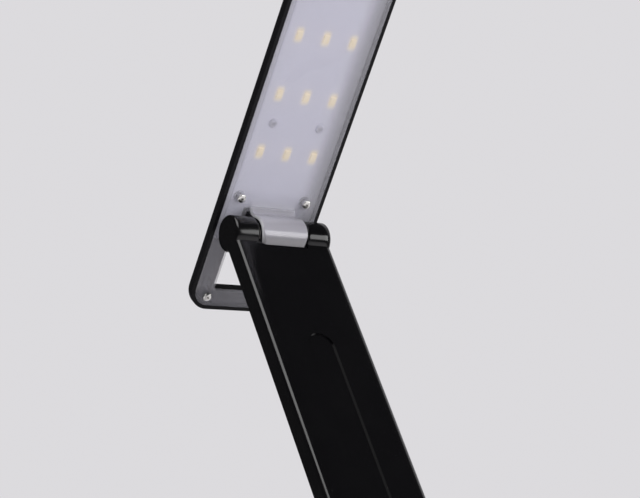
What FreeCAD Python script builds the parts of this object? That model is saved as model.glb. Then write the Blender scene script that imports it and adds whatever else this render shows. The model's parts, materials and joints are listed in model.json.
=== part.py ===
import FreeCAD, Part
import math
import os
import Sketcher
from FreeCAD import Placement, Rotation, Vector

# A desk lamp that folds up like an accordion: a head, an arm and a base, one above the other, with a
# hinge at each end of the arm. All sizes are in millimetres. The lamp stands on z = 0 with the centre
# of its base at the origin, +Z is up, both hinges run along X and the user sits on the -Y side.
#
# The pieces of the head, the arm and the base are each drawn flat about their own hinge axis and are
# then turned to the standing pose. In those flat drawings x runs along the hinge, y along the slab
# away from the hinge, and z out of the face that carries the hinge.

SIZES = {
    # pose of the lamp as it stands in the picture, in degrees
    "arm_angle": 57.47,           # arm above the table, leaning back
    "head_angle": 124.36,         # head above the table, leaning forward

    # the hinges, which are the same at both ends of the arm
    "barrel_radius": 8.25,        # the arm's two knuckles
    "knuckle_setback": 0.2,       # centre knuckle of the head and the base, inside the tongue's radius
    "fork_width": 24.6,           # space between the arm's knuckles
    "fork_relief": 0.5,           # arm to centre knuckle, all round
    "side_gap": 0.4,              # arm to centre knuckle, each side
    "hinge_offset": 10.2,         # hinge axis above the face of the head or the base
    "shaft_radius": 3.0,
    "shaft_bore": 1.5,
    "shaft_inset": 4.2,           # end of the shaft inside the end of the barrel
    "running_gap": 0.05,          # radial, between shaft and bushes
    "seat_gap": 0.02,             # radial, between pieces that are seated in each other
    "bush_radius": 4.5,
    "bush_length": 3.4,
    "clip_clearance": 0.46,       # bush to friction clip
    "clip_slit": 1.2,
    "washer_radius": 6.6,
    "washer_thickness": 0.3,

    # the arm
    "arm_length": 250.0,          # hinge to hinge
    "arm_width": 50.0,
    "arm_thickness": 9.0,
    "arm_wall": 1.8,
    "arm_edge_radius": 2.0,
    "barrel_edge_radius": 1.2,
    "fork_edge_radius": 1.8,
    "slot_width": 13.6,
    "slot_end": 63.0,             # hinge axis to the centre of the slot's round end
    "slot_depth": 0.8,
    "arm_screw_x": 15.0,
    "arm_screw_inset": 30.0,
    "arm_boss_radius": 3.4,
    "arm_screw_sink": 0.3,        # top of the head below the back of the arm

    # the head
    "head_width": 53.0,
    "head_reach": 245.0,          # hinge axis to the far end
    "head_depth": 7.0,
    "head_edge_radius": 4.4,
    "head_rim": 1.8,
    "head_floor": 1.6,
    "corner_radius": 10.2,
    "loop_reach": 44.0,           # hinge axis to the end of the open frame
    "window_width": 30.6,
    "window_start": 11.0,
    "window_end": 34.0,
    "window_corner": 1.5,
    "window_wall": 1.6,
    "window_edge_radius": 0.8,
    "panel_thickness": 1.5,
    "panel_gap": 0.1,
    "panel_line_inset": 2.0,
    "panel_line_width": 0.4,
    "panel_line_depth": 0.25,
    "tongue_radius": 9.5,
    "tongue_fillet": 5.0,
    "saddle_fillet": 3.2,         # on the window side of a knuckle
    "tongue_corner": 4.2,         # radius that draws each side in to its tip
    "tongue_straight": 6.0,       # its straight sides, above the hinge axis
    "tongue_edge_radius": 0.8,
    "parting": 0.8,               # edge of the tongue past the hinge axis
    "web_setback": 1.2,           # web under the tongue
    "board_drop": 2.6,            # face of the head to the face of the board
    "board_thickness": 1.0,
    "board_side": 2.9,            # to the side of the head
    "board_clearance": 0.6,       # to the centre knuckle, and to the wall of the window
    "board_inset": 10.0,          # board to the far end of the head
    "led_pitch_x": 14.0,
    "led_pitch_y": 28.0,
    "led_first": 35.2,
    "led_width": 2.8,
    "led_length": 3.5,
    "led_height": 0.7,
    "board_screw_x": 12.3,
    "board_screw_rows": 3,
    "rows_per_screw": 3,          # rows of LEDs from one pair of screws to the next
    "panel_screw_x": 17.2,
    "panel_screw_near": 13.0,
    "panel_screw_inset": 5.6,     # far screws to the far end of the head
    "loop_screw_x": 17.9,
    "loop_screw_inset": 6.5,      # to the end of the open frame

    # the screws
    "screw_radius": 1.1,
    "screw_head_radius": 2.1,
    "screw_head_height": 1.3,
    "screw_reach": 3.2,
    "screw_gap": 0.4,             # radial, in a clear hole
    "screw_spare": 0.2,           # point of a screw to the end of its pilot hole
    "cross_width": 0.55,
    "cross_length": 2.3,
    "cross_depth": 0.6,
    "low_head_height": 0.9,       # of the screws under the panel
    "boss_wall": 1.4,

    # the base
    "base_width": 53.0,
    "base_reach": 195.0,          # hinge axis to the far end
    "base_height": 16.0,
    "base_cover_height": 5.0,
    "base_wall": 2.0,
    "base_edge_radius": 2.6,
    "foot_radius": 5.0,
    "foot_height": 1.0,
    "foot_recess": 0.5,
    "foot_inset": 10.0,           # from the sides
    "foot_near": 20.0,
    "foot_far_inset": 20.0,       # to the far end of the base
    "base_screw_side": 5.5,       # to the side of the base
    "base_screw_near": 8.0,
    "base_screw_inset": 11.0,     # to the far end of the base
    "base_boss_radius": 3.3,
    "ballast_side": 6.5,          # to the side of the base
    "ballast_clearance": 8.0,     # to the battery cell
    "ballast_thickness": 4.0,
    "ballast_start": 20.0,
    "cell_width": 34.0,
    "cell_length": 50.0,
    "cell_thickness": 9.0,
    "cell_edge_radius": 3.0,
    "cell_clearance": 12.5,       # to the control board
    "cell_pad": 0.5,
    "control_width": 34.0,
    "control_length": 46.0,
    "control_thickness": 1.6,
    "control_lift": 3.0,
    "control_setback": 0.5,       # board to the inside of the rear wall
    "control_screw_x": 13.5,
    "control_screw_inset": 7.5,   # to the near end of the board
    "button_inset": 23.0,         # to the far end of the base
    "button_radius": 6.0,
    "button_gap": 0.15,
    "button_proud": 0.8,
    "button_travel": 0.8,
    "button_edge_radius": 0.4,
    "button_flange": 1.4,
    "button_flange_thickness": 0.8,
    "button_stem_radius": 1.6,
    "switch_width": 6.0,
    "switch_height": 2.0,
    "plunger_height": 0.8,
    "lens_x": 13.0,
    "lens_radius": 1.2,
    "socket_width": 8.94,
    "socket_height": 3.26,
    "socket_depth": 7.3,
    "socket_shell": 0.3,
    "socket_gap": 0.12,
    "socket_back": 1.0,
    "blade_width": 6.6,           # the tongue with the contacts
    "blade_thickness": 0.6,
    "blade_setback": 1.2,
    "chip_size": 5.0,
    "chip_height": 1.0,
    "coil_size": 6.0,
    "coil_height": 3.0,
    "chip_gap": 1.0,
    "plug_width": 6.0,
    "plug_length": 5.0,
    "plug_height": 3.4,
    "plug_x": 9.0,

    # the leads
    "lead_radius": 0.7,
    "lead_gap": 0.4,
    "lead_bend": 2.4,
    "lead_drop_x": 5.4,           # where a lead leaves the hollow shaft
    "head_lead_overlap": 4.0,     # under the board
    "arm_lead_inset": 2.7,        # from the side of the arm
    "arm_lead_bend": 1.2,
    "base_lead_inset": 5.6,       # from the side of the base
    "base_lead_drop": 1.0,        # under the joint of the base
    "base_lead_clearance": 4.0,   # in front of the ballast
    "base_lead_step": 8.0,        # across to the board
    "base_lead_overlap": 6.0,     # before and over the near end of the board
}

OVERRUN = 1.0       # a cutting outline runs this far past the solid
TOUCHING = 1e-3     # two places this close are the same place
ALONG = 0.99        # part of a direction that lies along an axis, from which it counts as along it


class Size:
    """A length or an angle: its value, and the formula that gives it from the sheet of sizes."""

    def __init__(self, value, text):
        self.value = value
        self.text = text

    def __float__(self):
        return float(self.value)

    def __add__(self, other):
        other = size(other)
        return Size(self.value + other.value, f"({self.text} + {other.text})")

    def __sub__(self, other):
        other = size(other)
        return Size(self.value - other.value, f"({self.text} - {other.text})")

    def __mul__(self, other):
        other = size(other)
        return Size(self.value * other.value, f"({self.text} * {other.text})")

    def __truediv__(self, other):
        other = size(other)
        return Size(self.value / other.value, f"({self.text} / {other.text})")

    def __radd__(self, other):
        return size(other) + self

    def __rsub__(self, other):
        return size(other) - self

    def __rmul__(self, other):
        return size(other) * self

    def __neg__(self):
        return Size(-self.value, f"(0 - {self.text})")

    def root(self):
        return Size(math.sqrt(self.value), f"sqrt({self.text})")

    def sine(self):
        return Size(math.sin(math.radians(self.value)), f"sin({self.text})")

    def cosine(self):
        return Size(math.cos(math.radians(self.value)), f"cos({self.text})")


def size(number):
    return number if isinstance(number, Size) else Size(number, f"({number})")


doc = FreeCAD.newDocument("AccordionLamp")
sheet = doc.addObject("Spreadsheet::Sheet", "Sizes")
for row, (alias, number) in enumerate(SIZES.items(), start=1):
    sheet.set(f"A{row}", alias)
    sheet.set(f"B{row}", str(number))
    sheet.setAlias(f"B{row}", alias)
doc.recompute()


class Sheet:
    """Reads a named size of the sheet: d.arm_width."""

    def __getattr__(self, name):
        return Size(float(sheet.get(name)), f"Sizes.{name}")


d = Sheet()
pieces = []


# ---- how a piece is drawn -------------------------------------------------------------------------

def bind(thing, prop, amount):
    thing.setExpression(prop, size(amount).text)


def stand(thing, pose, angle, y, z):
    """Turns a finished piece about the X axis and lifts it to its hinge, in the standing lamp."""
    thing.Placement = Placement(Vector(0, float(y), float(z)), Rotation(Vector(1, 0, 0), float(angle)))
    bind(thing, "Placement.Base.y", y)
    bind(thing, "Placement.Base.z", z)
    bind(thing, "Placement.Rotation.Angle", angle)
    thing.Label = pose
    pieces.append(thing)


def in_base(thing, name):
    stand(thing, name, size(0), low_axis_y, low_axis_z)


def in_arm(thing, name):
    stand(thing, name, d.arm_angle, low_axis_y, low_axis_z)


def in_head(thing, name):
    stand(thing, name, d.head_angle, high_axis_y, high_axis_z)


def new_body(name):
    return doc.addObject("PartDesign::Body", name)


def sketch(body, name, plane="XY_Plane", level=0, along=0):
    """A sketch at a height above a plane of the body, its own origin moved along its second axis."""
    page = body.newObject("Sketcher::SketchObject", name)
    origin_plane = next(f for f in body.Origin.OriginFeatures if f.Role == plane)
    page.AttachmentSupport = (origin_plane, [""])
    page.MapMode = "FlatFace"
    bind(page, "AttachmentOffset.Base.y", along)
    bind(page, "AttachmentOffset.Base.z", level)
    return page


def constrain(page, amount, kind, *where):
    index = page.addConstraint(Sketcher.Constraint(kind, *where, float(amount)))
    page.setExpression(f"Constraints[{index}]", size(amount).text)


def pin_along(page, kind, amount, geometry, point):
    """Fixes one point of the sketch in x or in y."""
    if float(amount) == 0:
        axis = -2 if kind == "DistanceX" else -1
        page.addConstraint(Sketcher.Constraint("PointOnObject", geometry, point, axis))
    else:
        constrain(page, amount, kind, -1, 1, geometry, point)


def pin_point(page, geometry, point, x, y):
    """Fixes one point of the sketch at x, y from its origin."""
    pin_along(page, "DistanceX", x, geometry, point)
    pin_along(page, "DistanceY", y, geometry, point)


def circle(page, x, y, radius):
    centre = Vector(float(x), float(y), 0)
    index = page.addGeometry(Part.Circle(centre, Vector(0, 0, 1), float(radius)))
    constrain(page, radius, "Radius", index)
    pin_point(page, index, 3, x, y)


def outline(page, corners, bends=None):
    """A closed outline. bends gives an edge a radius, positive where it turns to the left."""
    bends = bends or {}
    ends = []
    count = len(corners)
    for index in range(count):
        start = Vector(*(float(c) for c in corners[index]), 0)
        stop = Vector(*(float(c) for c in corners[(index + 1) % count]), 0)
        if index not in bends:
            ends.append((page.addGeometry(Part.LineSegment(start, stop)), 1, 2))
            continue
        bend = bends[index]
        radius = abs(float(bend))
        chord = stop - start
        side = Vector(-chord.y, chord.x, 0).normalize() * math.copysign(1, float(bend))
        rise = math.sqrt(max(radius ** 2 - chord.Length ** 2 / 4, 0))
        centre = (start + stop) / 2 + side * rise
        first, last = (start, stop) if float(bend) > 0 else (stop, start)
        angles = [math.atan2(p.y - centre.y, p.x - centre.x) for p in (first, last)]
        if angles[1] < angles[0]:
            angles[1] += 2 * math.pi
        arc = Part.ArcOfCircle(Part.Circle(centre, Vector(0, 0, 1), radius), *angles)
        start_point, stop_point = (1, 2) if float(bend) > 0 else (2, 1)
        ends.append((page.addGeometry(arc), start_point, stop_point))
    for index in range(count):
        here = ends[index]
        following = ends[(index + 1) % count]
        page.addConstraint(Sketcher.Constraint("Coincident", here[0], here[2], following[0], following[1]))
    for (x, y), (geometry, point, _) in zip(corners, ends):
        pin_point(page, geometry, point, x, y)
    for index, bend in bends.items():
        x, y = corners[index]
        next_x, next_y = corners[(index + 1) % count]
        chord = math.hypot(float(next_x) - float(x), float(next_y) - float(y))
        arc = ends[index][0]
        if not near(chord, 2 * abs(float(bend))):
            constrain(page, bend if float(bend) > 0 else -bend, "Radius", arc)
        elif near(x, next_x):
            pin_along(page, "DistanceX", x, arc, 3)
        else:
            pin_along(page, "DistanceY", y, arc, 3)


def rectangle(page, left, right, bottom, top):
    outline(page, [(left, bottom), (right, bottom), (right, top), (left, top)])


def rounded_rectangle(page, left, right, bottom, top, corner):
    outline(page, [(left + corner, bottom), (right - corner, bottom), (right, bottom + corner),
                   (right, top - corner), (right - corner, top), (left + corner, top),
                   (left, top - corner), (left, bottom + corner)],
            {1: corner, 3: corner, 5: corner, 7: corner})


def rebuilt(feature):
    """Recomputes the document, and stops if the new feature failed."""
    doc.recompute()
    if "Invalid" in feature.State or feature.Shape.isNull():
        raise RuntimeError(f"{feature.Name} failed: {feature.getStatusString()}")
    return feature


def extrude(body, kind, page, length, name, both_ways=False, backwards=False):
    feature = body.newObject(kind, name)
    feature.Profile = page
    feature.SideType = "Symmetric" if both_ways else "One side"
    feature.Reversed = backwards
    bind(feature, "Length", length)
    return rebuilt(feature)


def pad(body, page, length, name, **way):
    return extrude(body, "PartDesign::Pad", page, length, name, **way)


def pocket(body, page, depth, name, **way):
    before = body.Shape.Volume
    feature = extrude(body, "PartDesign::Pocket", page, depth, name, **way)
    if body.Shape.Volume > before - TOUCHING:
        raise RuntimeError(f"{name} of {body.Name} removes nothing")
    return feature


def soften(body, radius, name, wanted):
    """Rounds the edges of the body for which wanted(middle, direction) holds."""
    base = body.Tip
    names = []
    for index, edge in enumerate(base.Shape.Edges, start=1):
        middle = edge.valueAt((edge.FirstParameter + edge.LastParameter) / 2)
        direction = edge.tangentAt((edge.FirstParameter + edge.LastParameter) / 2)
        if wanted(middle, direction):
            names.append(f"Edge{index}")
    if not names:
        raise RuntimeError(f"{name} of {body.Name} finds no edge")
    feature = body.newObject("PartDesign::Fillet", name)
    feature.Base = (base, names)
    bind(feature, "Radius", radius)
    return rebuilt(feature)


def near(first, second):
    return abs(float(first) - float(second)) < TOUCHING


def box(name, left, right, front, back, bottom, top):
    solid = doc.addObject("Part::Box", name)
    for prop, low, high in (("Length", left, right), ("Width", front, back), ("Height", bottom, top)):
        bind(solid, prop, size(high) - low)
    bind(solid, "Placement.Base.x", left)
    bind(solid, "Placement.Base.y", front)
    bind(solid, "Placement.Base.z", bottom)
    return solid


def rod(name, x, y, bottom, top, radius):
    """An upright round bar."""
    solid = doc.addObject("Part::Cylinder", name)
    bind(solid, "Radius", radius)
    bind(solid, "Height", size(top) - bottom)
    bind(solid, "Placement.Base.x", x)
    bind(solid, "Placement.Base.y", y)
    bind(solid, "Placement.Base.z", bottom)
    return solid


def axle(name, start, stop, radius):
    """A round bar along the hinge."""
    solid = doc.addObject("Part::Cylinder", name)
    solid.Placement = Placement(Vector(float(start), 0, 0), Rotation(Vector(0, 1, 0), 90))
    bind(solid, "Radius", radius)
    bind(solid, "Height", size(stop) - start)
    bind(solid, "Placement.Base.x", start)
    return solid


def minus(name, base, tool):
    cut = doc.addObject("Part::Cut", name)
    cut.Base = base
    cut.Tool = tool
    return cut


def together(name, parts):
    fuse = doc.addObject("Part::MultiFuse", name)
    fuse.Shapes = parts
    return fuse


def group(name, parts):
    """Separate solids under one name. A piece that is one bar or block is a group of one."""
    compound = doc.addObject("Part::Compound", name)
    compound.Links = parts
    return compound


# ---- places that several pieces share -------------------------------------------------------------

low_axis_y = (d.loop_reach - d.base_reach) / 2
low_axis_z = d.foot_height + d.base_height + d.hinge_offset
high_axis_y = low_axis_y + d.arm_length * d.arm_angle.cosine()
high_axis_z = low_axis_z + d.arm_length * d.arm_angle.sine()

leaf_half = d.fork_width / 2 - d.side_gap
knuckle_radius = d.tongue_radius - d.knuckle_setback
tongue_foot = leaf_half - d.panel_gap
fork_radius = d.tongue_radius + d.fork_relief
web_back = (fork_radius * fork_radius - d.arm_thickness * d.arm_thickness / 4).root() - d.side_gap
shaft_end = d.arm_width / 2 - d.shaft_inset
bore_end = shaft_end + d.seat_gap
bush_start = d.fork_width / 2 + d.seat_gap
bush_end = bush_start + d.bush_length

head_face = -d.hinge_offset
head_back = head_face - d.head_depth
head_inside = head_back + d.head_floor
panel_seat = head_face - d.panel_thickness - d.panel_gap
board_face = head_face - d.board_drop
board_back = board_face - d.board_thickness

base_top = -d.hinge_offset
base_bottom = base_top - d.base_height
base_joint = base_top - d.base_cover_height
base_floor = base_bottom + d.base_wall
base_ceiling = base_top - d.base_wall
base_inside_end = d.base_reach - d.base_wall

control_end = base_inside_end - d.control_setback
control_start = control_end - d.control_length
control_back = base_floor + d.control_lift
control_face = control_back + d.control_thickness
cell_end = control_start - d.cell_clearance
cell_start = cell_end - d.cell_length
ballast_end = cell_start - d.ballast_clearance
ballast_half = d.base_width / 2 - d.ballast_side

pilot_radius = d.screw_radius + d.running_gap
boss_radius = d.screw_radius + d.boss_wall
clear_hole = d.screw_radius + d.screw_gap
lead_hole = d.lead_radius + d.lead_gap

web_front = d.tongue_radius - d.panel_thickness - d.web_setback
board_start = d.window_wall + d.board_clearance - d.window_start
board_notch = web_front + d.board_clearance
board_end = d.head_reach - d.board_inset
board_half = d.head_width / 2 - d.board_side
button_y = d.base_reach - d.button_inset

near_screws = [(side * d.panel_screw_x, d.panel_screw_near) for side in (-1, 1)]
far_screws = [(side * d.panel_screw_x, d.head_reach - d.panel_screw_inset) for side in (-1, 1)]
panel_screws = near_screws + far_screws
loop_screws = [(side * d.loop_screw_x, d.loop_screw_inset - d.loop_reach) for side in (-1, 1)]
board_screws = [(side * d.board_screw_x, d.led_first + d.led_pitch_y * (0.5 + row * d.rows_per_screw))
                for side in (-1, 1) for row in range(int(float(d.board_screw_rows)))]
arm_screws = [(side * d.arm_screw_x, y) for side in (-1, 1)
              for y in (d.arm_screw_inset, d.arm_length - d.arm_screw_inset)]
base_screws = [(side * (d.base_width / 2 - d.base_screw_side), y) for side in (-1, 1)
               for y in (d.base_screw_near, d.base_reach - d.base_screw_inset)]
base_screws = base_screws + loop_screws
control_screws = [(side * d.control_screw_x, control_start + d.control_screw_inset) for side in (-1, 1)]
foot_places = [(side * (d.base_width / 2 - d.foot_inset), y) for side in (-1, 1)
               for y in (d.foot_near, d.base_reach - d.foot_far_inset)]

arm_counterbore = d.screw_head_height + d.arm_screw_sink
base_counterbore = d.base_height - d.base_cover_height - d.screw_reach

button_top = base_top + d.button_proud
flange_top = base_ceiling - d.panel_gap
flange_bottom = flange_top - d.button_flange_thickness
switch_top = control_face + d.switch_height + d.plunger_height
stem_bottom = switch_top + d.button_travel + d.panel_gap


def window(page, spare=0):
    """The opening of the frame past the hinge, or a border round it."""
    half = d.window_width / 2 + spare
    rounded_rectangle(page, -half, half, -(d.window_end + spare), -(d.window_start - spare),
                      d.window_corner + spare)


def outside_window(place, border=0):
    """True where an edge isn't on the opening of the frame, or on a border round it."""
    return (abs(place.x) > float(d.window_width) / 2 + border + TOUCHING
            or place.y > border - float(d.window_start) + TOUCHING
            or place.y < -float(d.window_end) - border - TOUCHING)


def inset_outline(page, width, reach, inset):
    """The outline of the head or the base, drawn in from its edge."""
    half = width / 2 - inset
    rounded_rectangle(page, -half, half, -(d.loop_reach - inset), reach - inset,
                      d.corner_radius - inset)


# ---- pieces that are used more than once ----------------------------------------------------------

def screw(name, x, y, seat, reach, up, head_height):
    """A pan-head screw with a cross recess, its head on the seat and its point below it."""
    top = seat + up * head_height
    low, high = (seat, top) if up > 0 else (top, seat)
    head = rod(name + "_head", x, y, low, high, d.screw_head_radius)
    tip = seat - up * reach
    low, high = (tip, seat) if up > 0 else (seat, tip)
    shank = rod(name + "_shank", x, y, low, high, d.screw_radius)
    slots = []
    floor = top - up * d.cross_depth
    beyond = top + up * d.cross_depth
    low, high = (floor, beyond) if up > 0 else (beyond, floor)
    for turn, (wide, long) in enumerate(((d.cross_width, d.cross_length), (d.cross_length, d.cross_width))):
        slots.append(box(f"{name}_slot_{turn}", x - wide / 2, x + wide / 2, y - long / 2, y + long / 2,
                         low, high))
    solid = together(name + "_solid", [head, shank])
    return minus(name, solid, together(name + "_cross", slots))


def screws(name, places, seat, reach, up=1, head_height=d.screw_head_height):
    return group(name, [screw(f"{name}_{index}", x, y, seat, reach, up, head_height)
                        for index, (x, y) in enumerate(places)])


def shaft(name):
    """The hollow shaft of a hinge, with a notch where the lead turns off into the slab."""
    body = new_body(name)
    page = sketch(body, name + "_section", "YZ_Plane")
    circle(page, 0, 0, d.shaft_radius)
    circle(page, 0, 0, d.shaft_bore)
    pad(body, page, 2 * shaft_end, name + "_tube", both_ways=True)
    page = sketch(body, name + "_notch_plan", "XY_Plane")
    rectangle(page, -(d.lead_drop_x + lead_hole), -(d.lead_drop_x - lead_hole), -lead_hole, lead_hole)
    pocket(body, page, d.shaft_radius, name + "_notch")
    return body


def ring(name, start, stop, inner, outer):
    return minus(name, axle(name + "_outer", start, stop, outer), axle(name + "_inner", start, stop, inner))


def both_sides(name, start, stop, inner, outer):
    """A ring round the hinge in each knuckle of the arm, start and stop measured from the middle."""
    right = ring(name + "_right", start, stop, inner, outer)
    left = ring(name + "_left", -stop, -start, inner, outer)
    return group(name, [left, right])


def bushes(name):
    return both_sides(name, bush_start, bush_end, d.shaft_radius + d.running_gap,
                      d.bush_radius - d.seat_gap)


def friction_clips(name):
    """Slit spring rings that squeeze the shaft, from the bushes to its ends."""
    stop = shaft_end - d.seat_gap
    rings = both_sides(name + "_rings", bush_end + d.clip_clearance, stop,
                       d.shaft_radius + d.running_gap, d.bush_radius - d.seat_gap)
    slit = box(name + "_slit", -stop, stop, -d.clip_slit / 2, d.clip_slit / 2, 0, d.bush_radius)
    return minus(name, rings, slit)


def washers(name):
    middle = d.fork_width / 2 - d.side_gap / 2
    return both_sides(name, middle - d.washer_thickness / 2, middle + d.washer_thickness / 2,
                      d.shaft_radius + d.running_gap, d.washer_radius)


def lead(name, points, bend):
    """A round lead: straight runs through the points, with an arc of the bend radius at each."""
    points = [Vector(*(float(c) for c in point)) for point in points]
    bend = float(bend)
    edges = []
    start = points[0]
    for here, corner, after in zip(points, points[1:], points[2:]):
        inward = (corner - here).normalize()
        outward = (after - corner).normalize()
        turn = inward.getAngle(outward)
        trim = bend * math.tan(turn / 2)
        arc_start = corner - inward * trim
        arc_stop = corner + outward * trim
        towards = (outward - inward).normalize()
        arc_middle = corner + towards * (bend / math.cos(turn / 2) - bend)
        edges.append(Part.LineSegment(start, arc_start).toShape())
        edges.append(Part.Arc(arc_start, arc_middle, arc_stop).toShape())
        start = arc_stop
    edges.append(Part.LineSegment(start, points[-1]).toShape())
    path = Part.Wire(edges)
    section = Part.Wire(Part.makeCircle(float(d.lead_radius), points[0], points[1] - points[0]))
    solid = path.makePipeShell([section], True, False)
    expected = math.pi * float(d.lead_radius) ** 2 * path.Length
    print(f"{name}: {path.Length:.1f} mm long, volume {solid.Volume:.1f} of {expected:.1f} mm3")
    thing = doc.addObject("Part::Feature", name)
    thing.Shape = solid
    return thing


# ---- the head -------------------------------------------------------------------------------------

def make_head_shell():
    """The black rear tray of the head: floor, rim, open frame and the core of the centre knuckle."""
    body = new_body("head_shell")
    page = sketch(body, "head_outline", level=head_back)
    inset_outline(page, d.head_width, d.head_reach, size(0))
    pad(body, page, d.head_depth, "head_block")
    soften(body, d.head_edge_radius, "head_back_edge", lambda middle, direction: near(middle.z, head_back))

    page = sketch(body, "panel_seat_outline", level=head_face)
    inset_outline(page, d.head_width, d.head_reach, d.head_rim)
    pocket(body, page, d.panel_thickness + d.panel_gap, "panel_seat")
    page = sketch(body, "cavity_outline", level=panel_seat)
    inset_outline(page, d.head_width, d.head_reach, d.head_rim)
    window(page, d.window_wall)
    pocket(body, page, panel_seat - head_inside, "cavity")
    soften(body, d.head_edge_radius - d.head_rim, "cavity_foot",
           lambda middle, direction: near(middle.z, head_inside)
           and outside_window(middle, float(d.window_wall)))

    page = sketch(body, "window_outline", level=head_face)
    window(page)
    pocket(body, page, d.head_depth, "window")
    soften(body, d.window_edge_radius, "window_back_edge",
           lambda middle, direction: near(middle.z, head_back) and not outside_window(middle))

    page = sketch(body, "boss_plan", level=head_inside)
    for x, y in far_screws + loop_screws:
        circle(page, x, y, boss_radius)
    pad(body, page, panel_seat - head_inside, "panel_bosses")
    page = sketch(body, "board_boss_plan", level=head_inside)
    for x, y in board_screws + near_screws:
        circle(page, x, y, boss_radius)
    pad(body, page, board_back - head_inside, "board_bosses")

    knuckle_core(body, head_inside)
    page = sketch(body, "pilot_plan", level=panel_seat)
    for x, y in panel_screws + loop_screws + board_screws:
        circle(page, x, y, pilot_radius)
    pocket(body, page, panel_seat - head_inside, "pilot_holes")
    return body


def knuckle_core(body, floor):
    """The head's centre knuckle: full size below the hinge axis, stepped in under the tongue above it."""
    page = sketch(body, "knuckle_section", "YZ_Plane")
    circle(page, 0, 0, knuckle_radius)
    pad(body, page, 2 * leaf_half, "knuckle", both_ways=True)
    step = d.tongue_radius - d.panel_thickness - d.panel_gap
    page = sketch(body, "knuckle_step_section", "YZ_Plane")
    reach = knuckle_radius + d.panel_gap
    rectangle(page, d.parting - d.panel_gap, reach, -reach, reach)
    pocket(body, page, 2 * leaf_half, "knuckle_step", both_ways=True)
    page = sketch(body, "knuckle_core_section", "YZ_Plane")
    circle(page, 0, 0, step)
    pad(body, page, 2 * leaf_half, "knuckle_core", both_ways=True)
    page = sketch(body, "knuckle_root_section", "YZ_Plane")
    rectangle(page, -d.window_start, web_front, floor, head_face)
    pad(body, page, 2 * leaf_half, "knuckle_root", both_ways=True)
    page = sketch(body, "knuckle_web_section", "YZ_Plane")
    rectangle(page, -web_back, web_front, head_face, 0)
    pad(body, page, 2 * leaf_half, "knuckle_web", both_ways=True)
    page = sketch(body, "knuckle_saddle_section", "YZ_Plane")
    saddle(page, -1, d.saddle_fillet)
    pad(body, page, 2 * leaf_half, "knuckle_saddle", both_ways=True)
    hinge_bore(body)
    lead_slot(body, web_front + d.tongue_radius, floor)


def saddle(page, side, bend):
    """Hollow curve from the face of a slab up to its knuckle. side is the way it slopes down."""
    radius = knuckle_radius
    bend_z = bend - d.hinge_offset
    bend_y = ((radius + bend) * (radius + bend) - bend_z * bend_z).root()
    reach = radius + bend
    top = bend_z * radius / reach
    outline(page, [(side * bend_y, -d.hinge_offset), (side * bend_y * radius / reach, top),
                   (0, top), (0, -d.hinge_offset)], {0: -side * bend})


def hinge_bore(body):
    page = sketch(body, "shaft_bore_section", "YZ_Plane")
    circle(page, 0, 0, d.shaft_radius + d.seat_gap)
    pocket(body, page, 2 * leaf_half, "shaft_bore", both_ways=True)


def lead_slot(body, front, floor):
    """Lets the lead down from the hollow shaft and out into the slab."""
    page = sketch(body, "lead_slot_plan", "XY_Plane")
    rectangle(page, -(d.lead_drop_x + lead_hole), -(d.lead_drop_x - lead_hole), -lead_hole, front)
    pocket(body, page, -floor, "lead_slot")


def make_head_cover():
    """The translucent front of the head, in one piece with the tongue over the centre knuckle."""
    body = new_body("head_cover")
    edge = d.head_rim + d.panel_gap
    page = sketch(body, "cover_outline", level=head_face - d.panel_thickness)
    inset_outline(page, d.head_width, d.head_reach, edge)
    window(page)
    pad(body, page, d.panel_thickness, "cover_plate")

    page = sketch(body, "knuckle_notch_outline", level=head_face)
    notch = leaf_half + d.panel_gap
    rectangle(page, -notch, notch, -(d.window_start + d.panel_gap), web_front + d.panel_gap)
    pocket(body, page, d.panel_thickness, "knuckle_notch")

    page = sketch(body, "tongue_section", "YZ_Plane")
    tongue_outline(page)
    pad(body, page, 2 * tongue_foot, "tongue", both_ways=True)
    page = sketch(body, "tongue_corner_front", "XZ_Plane")
    top = d.tongue_radius + d.panel_gap
    rise = top - d.tongue_straight
    tip = tongue_foot - d.tongue_corner + (d.tongue_corner * d.tongue_corner - rise * rise).root()
    for side in (-1, 1):
        waste = side * (tongue_foot + OVERRUN)
        outline(page, [(side * tongue_foot, d.tongue_straight), (side * tip, top),
                       (waste, top), (waste, d.tongue_straight)], {0: side * d.tongue_corner})
    pocket(body, page, 2 * (d.tongue_radius + d.tongue_fillet), "tongue_corners", both_ways=True)
    soften(body, d.tongue_edge_radius, "tongue_edges",
           lambda middle, direction: near(abs(middle.x), tongue_foot) and middle.z > float(head_face)
           and near(math.hypot(middle.y, middle.z), d.tongue_radius))

    page = sketch(body, "border_line_plan", level=head_face)
    inset_outline(page, d.head_width, d.head_reach, edge + d.panel_line_inset)
    inset_outline(page, d.head_width, d.head_reach, edge + d.panel_line_inset + d.panel_line_width)
    pocket(body, page, d.panel_line_depth, "border_line")

    page = sketch(body, "standoff_plan", level=board_face)
    for x, y in near_screws:
        circle(page, x, y, boss_radius)
    pad(body, page, d.board_drop - d.panel_thickness, "standoffs")
    page = sketch(body, "cover_hole_plan", level=head_face)
    for x, y in panel_screws + loop_screws:
        circle(page, x, y, clear_hole)
    pocket(body, page, d.board_drop, "cover_holes")
    return body


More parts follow.
